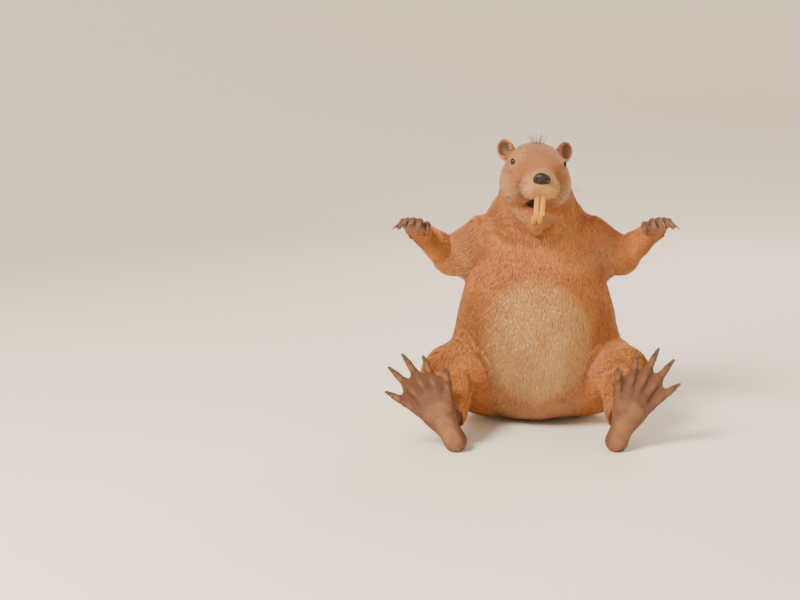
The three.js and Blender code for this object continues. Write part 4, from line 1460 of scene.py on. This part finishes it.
# %% Make the coat's pieces
COAT_PIECES = 8
PATCH = 0.003  # the size of one lock's own patch on the unwrap
PATCH_EDGE = 0.0005  # patches stay this far inside the unwrap's edge
patch_shape = np.array([[0.5, 0], [0, 0.4], [1, 0.4], [0.5, 0.55], [0.5, 1]], np.float32) - 0.5
vary = rng.uniform(0, 1, LOCKS).astype(np.float32)
shuffled = rng.permutation(LOCKS)
coat_pieces = []
for piece in range(COAT_PIECES):
    chosen = np.sort(shuffled[piece::COAT_PIECES])
    count = len(chosen)
    corners = lock_points[chosen].reshape(-1, 3)
    faces = (LOCK_FACES[None] + PER_LOCK * np.arange(count)[:, None, None]).reshape(-1, 3)
    mesh = mesh_from(f"coat_{piece + 1}", corners, [faces])
    numbers = {name: np.repeat(root_numbers[name][chosen], PER_LOCK) for name in ("pale", "dark")}
    numbers |= {"tip": np.tile(LOCK_TIP, count), "vary": np.repeat(vary[chosen], PER_LOCK)}
    add_numbers(mesh, numbers)
    uv = (root_uv[chosen][:, None] + patch_shape[None] * PATCH).reshape(-1, 2)
    uv = np.clip(uv[faces.ravel()], PATCH_EDGE, 1 - PATCH_EDGE).astype(np.float32)
    mesh.uv_layers.new(name="OFBake").data.foreach_set("uv", uv.ravel())
    mesh.shade_smooth()
    mesh.materials.append(coat_material)
    fur = put_in_scene(f"coat_{piece + 1}", mesh)
    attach(fur, "root")
    coat_pieces.append(fur)
print("coat:", COAT_PIECES, "pieces,", sum(len(fur.data.polygons) for fur in coat_pieces), "triangles")

# %% [markdown]
# ## Eyes
# A beaver's eye is small, round and almost black, with a narrow brown iris, and always wet. Under the
# lids it is a ball with a cornea that bulges a little. A subdivided ball would do; a lathed one has its
# poles at the pupil, where the rings of the iris can follow them.

# %% Lathed eyeballs
def mesh_in_place(name, points, faces, place):
    """A smooth mesh from points in a frame, in metres."""
    mesh = bpy.data.meshes.new(name)
    place = np.array(place)
    mesh.from_pydata((np.array(points) @ place[:3, :3].T + place[:3, 3]).tolist(), [], faces)
    mesh.validate()
    mesh.shade_smooth()
    return mesh


def lathed(name, place, profile, turns):
    """A closed shape turned about its own Z axis. profile lists (radius, height) from pole to pole."""
    rings = profile[1:-1]
    points = [(0, 0, profile[0][1])]
    for radius, height in rings:
        points += ring(radius, height, turns)
    points.append((0, 0, profile[-1][1]))
    firsts = [1 + turns * row for row in range(len(rings))]
    faces = fan(firsts[0], 0, turns, turned=True)
    for first, second in zip(firsts, firsts[1:]):
        faces += strip(first, second, turns)
    faces += fan(firsts[-1], len(points) - 1, turns)
    return mesh_in_place(name, points, faces, place)


def placed_piece(name, mesh, material, slot, *replaced):
    """Puts a mesh in the scene as a piece of the beaver."""
    mesh.materials.clear()
    mesh.materials.append(material)
    piece = put_in_scene(name, mesh)
    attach(piece, "root")
    if replaced:
        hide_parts(*replaced)


EYE_STOPS = (  # how far off its axis, as a share of the radius, and the colour there
    (0.0, linear(5, 4, 3)),
    (0.38, linear(5, 4, 3)),
    (0.46, linear(50, 27, 15)),
    (0.70, linear(30, 17, 10)),
    (0.86, linear(10, 7, 6)),
)


def make_eye_material():
    """A black pupil in a narrow brown iris, under a wet cornea."""
    material, tree, shader = new_material("wet_eye", Roughness=0.05, IOR=1.38)
    iris = tree.nodes.new("ShaderNodeValToRGB")
    while len(iris.color_ramp.elements) < len(EYE_STOPS):
        iris.color_ramp.elements.new(1.0)
    for element, (place, colour) in zip(iris.color_ramp.elements, EYE_STOPS):
        element.position, element.color = place, colour
    tree.links.new(number(tree, "off_axis"), iris.inputs["Fac"])
    tree.links.new(iris.outputs["Color"], shader.inputs["Base Color"])
    return material


eye_material = make_eye_material()
CORNEA_BULGE = 0.9
EYE_RINGS, EYE_TURNS = 29, 40
for side, way in SIDES.items():
    angles = np.linspace(0, math.pi, EYE_RINGS)
    radius = EYE_RADIUS + CORNEA_BULGE * ramp(angles, 0.85, 0.0)
    profile = list(zip(radius * np.sin(angles) * MM, radius * np.cos(angles) * MM))
    out = head_place[:3, :3] @ (EYE_OUT * (way, 1, 1))
    across = unit(np.cross(out, (0, 0, 1)))
    place = frame_from(at(head_place, *(EYE_AT * (way, 1, 1))), across, np.cross(out, across), out)
    mesh = lathed(f"eyeball_{side}", place, profile, EYE_TURNS)
    from_middle = corners_of(mesh) - place[:3, 3]
    off = np.linalg.norm(np.cross(from_middle, out), axis=1) / (EYE_RADIUS * MM)
    add_numbers(mesh, {"off_axis": np.where(from_middle @ out > 0, off, 1.0)})
    placed_piece(f"eyeball_{side}", mesh, eye_material, "eye", f"eye_{side}")
print("eyes:", 2 * EYE_RADIUS, "mm across")

# %% [markdown]
# ## Teeth and claws
# An incisor is a curved chisel: hard orange enamel in front, softer dentine behind, which wears away
# faster and keeps the edge sharp. A claw is a curved cone, wider than it is deep and hollowed underneath.
# Both are lofts: one section carried along a curve while it changes size.

# %% Lofts for teeth and claws
def bent(t, start, bend, end):
    """A point of the curve that leaves start towards bend and comes to end from it; t runs from 0 to 1."""
    return (1 - t) ** 2 * start + 2 * t * (1 - t) * bend + t * t * end


def loft(name, place, curve, sizes, across, rings, turns, squareness=2.0, under=0.0):
    """A closed loft. curve(t) is its middle, sizes(t) its half width and depth; under hollows its back."""
    middle = np.array([curve(t) for t in np.linspace(0, 1, rings)])
    along = unit_rows(np.gradient(middle, axis=0))
    wide = np.array(across, float)
    wide = unit_rows(wide - (along @ wide)[:, None] * along)
    deep = np.cross(wide, along)
    angle = 2 * math.pi * np.arange(turns) / turns
    power = 2 / squareness
    u = np.sign(np.cos(angle)) * np.abs(np.cos(angle)) ** power
    v = np.sign(np.sin(angle)) * np.abs(np.sin(angle)) ** power
    v = np.where(v < 0, v * (1 - under * (1 - u**2)), v)
    points, sides = [], []
    for t, centre, w, d in zip(np.linspace(0, 1, rings), middle, wide, deep):
        half_width, half_depth = sizes(t)
        points.append(centre + np.outer(u, w) * half_width + np.outer(v, d) * half_depth)
        sides.append(np.stack([np.full(turns, t), v], axis=1))
    points = np.concatenate([*points, middle[:1], middle[-1:]])
    sides = np.concatenate([*sides, [[0, 0]], [[1, 0]]])
    firsts = [turns * row for row in range(rings)]
    faces = fan(0, rings * turns, turns, turned=True)
    for first, second in zip(firsts, firsts[1:]):
        faces += strip(first, second, turns)
    faces += fan(firsts[-1], rings * turns + 1, turns)
    mesh = mesh_in_place(name, points * MM, faces, place)
    outward = bmesh.new()
    outward.from_mesh(mesh)
    bmesh.ops.recalc_face_normals(outward, faces=outward.faces)
    outward.to_mesh(mesh)
    outward.free()
    add_numbers(mesh, {"along": sides[:, 0], "front": sides[:, 1]})
    return mesh


def bend_through(start, bow, end):
    """A curve from start to end that bows at its middle."""
    start, end = np.array(start, float), np.array(end, float)
    return lambda t: bent(t, start, (start + end) / 2 + bow, end)


# %% Incisors
def make_enamel_material():
    """Orange in front, ivory behind, paler and worn towards the edge, with fine lines along it."""
    finish = {"Roughness": 0.26, "Coat_Weight": 0.35, "Coat_Roughness": 0.15}
    material, tree, shader = new_material("incisor_enamel", **finish)
    streaks = noise(tree, 700.0, 3.0, upright=0.07)
    orange = mix_colour(tree, streaks, linear(166, 96, 8), linear(192, 124, 18))
    worn = mix_colour(tree, times(tree, number(tree, "along"), 0.4), orange, linear(224, 176, 84))
    face = times(tree, plus(tree, number(tree, "front"), 0.25), 2.5, clamp=True)
    tree.links.new(mix_colour(tree, face, linear(226, 200, 150), worn), shader.inputs["Base Color"])
    bump(tree, shader, streaks, 0.0004)
    return material


enamel = make_enamel_material()
jaw_place = np.eye(4)
jaw_turn = np.array(Matrix.Rotation(JAW_OPEN, 3, "X"))
jaw_place[:3, :3] = head_place[:3, :3] @ jaw_turn
jaw_place[:3, 3] = at(head_place, *(JAW_JOINT - jaw_turn @ JAW_JOINT))
INCISORS = {  # the jaw it stands in, its start inside the gum, its edge, and how it bows
    "upper": (head_place, (4.9, -69.5, -20), (4.7, -66, -60), (0, -5, 0)),
    "lower": (jaw_place, (4.7, -55, -40), (4.4, -62, -13), (0, -4, 0)),
}
INCISOR_RINGS, INCISOR_TURNS = 22, 20
INCISOR_DEPTH = 3.9  # half of it, where it isn't ground
GROUND_FROM, GROUND_LENGTH = 0.72, 0.28  # shares of its length: before the ground face, and on it
GROUND_FORWARD = np.array([0, -3.2, 0])  # how far the middle moves forward as the back is ground away


def ground(t):
    """How far an incisor is ground away behind: 0 up to the ground face, 1 at its edge."""
    return max(0.0, (t - GROUND_FROM) / GROUND_LENGTH)


def incisor_size(t):
    """Half width and half depth: a bar that is ground away behind its edge."""
    narrowing = max(0.0, (t - 0.97) / 0.03)
    return 4.45 + 0.15 * t - 1.2 * narrowing, INCISOR_DEPTH * (1 - ground(t)) + 0.5 * ground(t)


def ahead_of(curve, mesh, place):
    """How far each corner of an incisor stands in front of its curve, as a share of its half depth."""
    steps = np.repeat(np.linspace(0, 1, INCISOR_RINGS), INCISOR_TURNS).tolist() + [0, 1]
    middles = np.array([curve(t) for t in steps]) @ place[:3, :3].T * MM
    ahead = (corners_of(mesh) - middles - place[:3, 3]) @ -place[:3, 1]
    return (ahead / (INCISOR_DEPTH * MM)).astype(np.float32)


def make_incisor(name, place, curve):
    """A squared bar along its curve, with a chisel's edge."""

    def middle(t):
        return curve(t) + GROUND_FORWARD * ground(t)

    mesh = loft(name, place, middle, incisor_size, (1, 0, 0), INCISOR_RINGS, INCISOR_TURNS, squareness=3.4)
    mesh.attributes["front"].data.foreach_set("value", ahead_of(curve, mesh, place))
    return mesh


for row, (place, gum, edge, bow) in INCISORS.items():
    for side, way in SIDES.items():
        mirror = np.array([way, 1, 1])
        curve = bend_through(np.array(gum) * mirror, np.array(bow), np.array(edge) * mirror)
        mesh = make_incisor(f"tooth_{row}_{side}", place, curve)
        placed_piece(f"tooth_{row}_{side}", mesh, enamel, "enamel", f"incisor_{row}_{side}")
upper_length = float(np.linalg.norm(np.subtract(INCISORS["upper"][1], INCISORS["upper"][2])))
print("four incisors, the upper ones", round(upper_length), "mm from inside the gum to the edge")

# %% Claws
def make_claw_material():
    """Horn: nearly black at the root, brown and a little clear at the tip, with lines along it."""
    material, tree, shader = new_material("claw_horn", Roughness=0.5)
    grain = noise(tree, 600.0, 3.0)
    dark = mix_colour(tree, grain, linear(34, 25, 20), linear(62, 46, 36))
    light = mix_colour(tree, grain, linear(74, 55, 40), linear(112, 87, 64))
    tree.links.new(mix_colour(tree, number(tree, "along"), dark, light), shader.inputs["Base Color"])
    bump(tree, shader, grain, 0.0003)
    return material


horn = make_claw_material()


def claw_size(half_width, flatness, taper):
    """Half width and half depth along a claw: it tapers slowly, then rounds off at its tip."""

    def size(t):
        end = math.sqrt(max(0.0, 1 - max(0.0, (t - 0.86) / 0.14) ** 2)) + 0.02
        return half_width * (1 - taper * t**1.7) * end, half_width * flatness * (1 - taper * t**1.3) * end

    return size


HIND_CLAW = {"sizes": claw_size(4.9, 0.56, 0.58), "turns": 16, "squareness": 2.2, "under": 0.5}
FRONT_CLAW = {"sizes": claw_size(3.0, 0.74, 0.74), "turns": 14, "squareness": 2.0, "under": 0.4}
FRONT_CLAW_LENGTH = 16.8  # past the finger's end


def add_claw(limb, side, i, place, curve, kind):
    """One claw of a hind or front limb."""
    name = f"nail_{limb}_{side}_{i + 1}"
    mesh = loft(name, place, curve, across=(1, 0, 0), rings=20, **kind)
    placed_piece(name, mesh, horn, "claw", f"claw_{limb}_{side}_{i + 1}")


for side in SIDES:
    for i in range(5):
        root, tip = on_toe(i, 0.94), on_toe(i, 1.24) - (0, 0, 3.4)
        curve = bend_through(root, np.array([0, 0, 3.0]), tip)
        add_claw("hind", side, i, foot_places[side], curve, HIND_CLAW)
        root = on_finger(i, 0.84, -6.2)
        tip = on_finger(i, 0.92 + FRONT_CLAW_LENGTH / (FINGER_LENGTH * FINGER_REACH[i]), -20)
        curve = bend_through(root, np.array([0, 0, 5.0]), tip)
        add_claw("front", side, i, paw_places[side], curve, FRONT_CLAW)
print("twenty claws")

# %% [markdown]
# ## Whiskers and crown hairs
# Whiskers are long stiff tapering hairs in rows on the muzzle pads. A few long dark guard hairs also
# stand up on the crown. Each is a thin closed tube along a curve, and all of one kind are one mesh.

# %% Thin tapering hairs
def hair_tubes(name, curves, thick, rings=9, turns=5):
    """One mesh of tapering tubes. Each curve is (start, bend, end) in millimetres in the head's frame."""
    corners, faces, along = [], [], []
    for start, bend, end in curves:
        middle = bent(np.linspace(0, 1, rings)[:, None], start, bend, end)
        way = unit_rows(np.gradient(middle, axis=0))
        side = unit_rows(np.cross(way, (0.3, 0.2, 0.93)))
        over = np.cross(way, side)
        firsts = [len(corners) + turns * row for row in range(rings - 1)]
        for row in range(rings - 1):
            part = row / (rings - 1)
            for u, v, _ in ring(thick * (1 - 0.85 * part), 0, turns):
                corners.append(middle[row] + u * side[row] + v * over[row])
                along.append(part)
        tip, foot = len(corners), len(corners) + 1
        corners += [middle[-1], middle[0]]
        along += [1.0, 0.0]
        for first, second in zip(firsts, firsts[1:]):
            faces += strip(second, first, turns)
        faces += fan(firsts[-1], tip, turns, turned=True) + fan(firsts[0], foot, turns)
    mesh = mesh_in_place(name, np.array(corners) * MM, faces, head_place)
    add_numbers(mesh, {"along": np.array(along)})
    return mesh


def make_hair_material(name, root, tip):
    """A hair that changes colour from its root to its tip."""
    material, tree, shader = new_material(name, Roughness=0.4)
    tree.links.new(mix_colour(tree, number(tree, "along"), root, tip), shader.inputs["Base Color"])
    return material


hair_rng = np.random.default_rng(11)
whiskers = []
for way in SIDES.values():
    for row in range(4):
        for place in range(4 if row else 3):
            y = -75 + 7.0 * place + 1.5 * row
            z = -6 - 5.2 * row
            start = np.array([17.5 + 1.6 * place + 1.2 * row, y, z]) + hair_rng.normal(0, 0.5, 3)
            length = (34 + 12 * place) * hair_rng.uniform(0.85, 1.15)
            aim = unit([1.0, -0.10 + 0.16 * place, 0.05 - 0.17 * row + hair_rng.normal(0, 0.05)])
            bend = start + aim * length * 0.55
            end = start + aim * length * 0.95 + np.array([0, 0.10 * length, -0.13 * length - 2])
            whiskers.append([point * (way, 1, 1) for point in (start, bend, end)])
whisker_material = make_hair_material("whisker", linear(36, 26, 20), linear(120, 96, 74))
placed_piece("whiskers", hair_tubes("whiskers", whiskers, 0.42), whisker_material, "coat")

CROWN_HAIRS = 15
GOLDEN_TURN = 0.618  # of a full turn from hair to hair spreads them evenly over a disc
CROWN_RADIUS = 9.5
crown = []
for index in range(CROWN_HAIRS):
    turn = 2 * math.pi * index * GOLDEN_TURN
    out = CROWN_RADIUS * math.sqrt((index + 0.5) / CROWN_HAIRS)
    start = np.array([out * math.cos(turn), 8 + 1.2 * out * math.sin(turn), 49])
    length = 27 * hair_rng.uniform(0.8, 1.1)
    aim = unit([0.055 * start[0], 0.03 * (start[1] - 8) + 0.12, 1.0])
    end = start + aim * length + np.array([0.012 * start[0] * length, 3.5, -1.2])
    crown.append([start, start + aim * length * 0.55, end])
crown_material = make_hair_material("crown_hair", linear(70, 34, 20), linear(40, 18, 12))
placed_piece("crown_hairs", hair_tubes("crown_hairs", crown, 0.55), crown_material, "coat")
print(len(whiskers), "whiskers,", len(crown), "crown hairs")

# %% [markdown]
# ## Tail scales
# The tail's skin is covered with flat horny scales in crossing rows. Each is a low shield, highest near
# its hind edge, that overlaps the next one. They are laid out in staggered rows on the top and the
# underside of the paddle, by rays sent straight down or up to the skin, and joined into one mesh.

# %% Lay the scales
SCALE_LONG, SCALE_WIDE = 8.2, 7.4
SCALE_ROW = SCALE_LONG * 0.62  # from row to row: the scales overlap
SCALE_MARGIN = 2.2  # millimetres that stay bare at the rim
SCALE_HIGH, SCALE_LOW = 1.25, 0.6  # half thickness on top, and underneath
SCALE_SLOPE = 0.5  # no scales where the rim is steeper than 60 degrees
SCALE_TURNS = 8


def shield():
    """One scale: corners in its own frame, for half sizes of 1, and its triangles."""
    angles = [2 * math.pi * k / SCALE_TURNS for k in range(SCALE_TURNS)]
    outer = [(math.cos(a), math.sin(a), -0.5) for a in angles]
    rim = [(0.90 * math.cos(a), 0.90 * math.sin(a), 0.30 + 0.22 * math.sin(a)) for a in angles]
    inner = [(0.5 * math.cos(a), 0.5 * math.sin(a) - 0.05, 0.62 + 0.25 * math.sin(a)) for a in angles]
    corners = outer + rim + inner + [(0, -0.05, 0.70), (0, 0, -0.5)]
    faces = []
    for first in (0, SCALE_TURNS):
        for a, b, c, d in strip(first, first + SCALE_TURNS, SCALE_TURNS):
            faces += [(a, b, c), (a, c, d)]
    faces += fan(2 * SCALE_TURNS, len(corners) - 2, SCALE_TURNS)
    faces += fan(0, len(corners) - 1, SCALE_TURNS, turned=True)
    return np.array(corners), np.array(faces)


skin_tree = BVHTree.FromPolygons([tuple(v) for v in skin_corners.tolist()], triangles.tolist())
scale_rng = np.random.default_rng(5)
scale_places = []
rows = int((tail_high[1] - tail_low[1]) / SCALE_ROW)
for row in range(-1, rows):
    y = tail_low[1] + 2 + row * SCALE_ROW
    if y > tail_high[1] - 3:
        continue
    half_width = float(tail_sizes(np.array(max(y, tail_low[1])))[0])
    for column in range(-10, 11):
        x = (column + 0.5 * (row % 2)) * SCALE_WIDE
        if abs(x) > half_width - SCALE_MARGIN:
            continue
        x += scale_rng.normal(0, 0.35)
        for up in (1, -1):
            start = Vector((x * MM, (y + scale_rng.normal(0, 0.3)) * MM, 0.08 if up > 0 else -0.05))
            hit, normal, _, _ = skin_tree.ray_cast(start, Vector((0, 0, -up)))
            if hit is not None and normal.z * up > SCALE_SLOPE:
                edge = 1 - 0.14 * (abs(x) / half_width) ** 3 - 0.10 * max(0.0, row / rows - 0.5)
                scale_places.append((hit, normal, up, edge * scale_rng.uniform(0.92, 1.06)))
shape, shape_faces = shield()
corners, faces, tints = [], [], []
for index, (hit, normal, up, size) in enumerate(scale_places):
    back = unit(np.array([0, 1, 0]) - normal.y * np.array(normal))
    across = np.cross(back, normal)
    thick = (SCALE_HIGH if up > 0 else SCALE_LOW) * abs(normal.z)  # flatter where the rim turns away
    half = np.array([SCALE_WIDE * 0.53, SCALE_LONG * 0.5, thick]) * size
    tilted = shape * half
    corners.append((tilted @ np.stack([across, back, np.array(normal)])) * MM + np.array(hit))
    faces.append(shape_faces + index * len(shape))
    tints.append(np.full(len(shape), scale_rng.uniform(0, 1)))
corners = np.concatenate(corners)
corners[:, 2] = np.maximum(corners[:, 2], 0.0002)
scale_mesh = mesh_from("scales", corners, [np.concatenate(faces)])
add_numbers(scale_mesh, {"vary": np.concatenate(tints)})
scale_mesh.shade_smooth()


def make_scale_material():
    """Dull dark horn: each scale a little lighter or darker than the next, with some dust on it."""
    material, tree, shader = new_material("scale_horn", Roughness=0.5, Specular_IOR_Level=0.45)
    dark = mix_colour(tree, number(tree, "vary"), linear(50, 41, 35), linear(82, 68, 59))
    dusty = mix_colour(tree, times(tree, noise(tree, 40.0, 4.0), 0.5), dark, linear(112, 93, 78))
    tree.links.new(dusty, shader.inputs["Base Color"])
    bump(tree, shader, noise(tree, 500.0, 4.0), 0.0006)
    return material


placed_piece("scales", scale_mesh, make_scale_material(), "tail_scales")
print(len(scale_places), "scales,", len(scale_mesh.polygons), "triangles")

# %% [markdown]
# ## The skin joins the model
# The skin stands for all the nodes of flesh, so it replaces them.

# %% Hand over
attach(skin, "root")
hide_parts(*flesh_nodes)
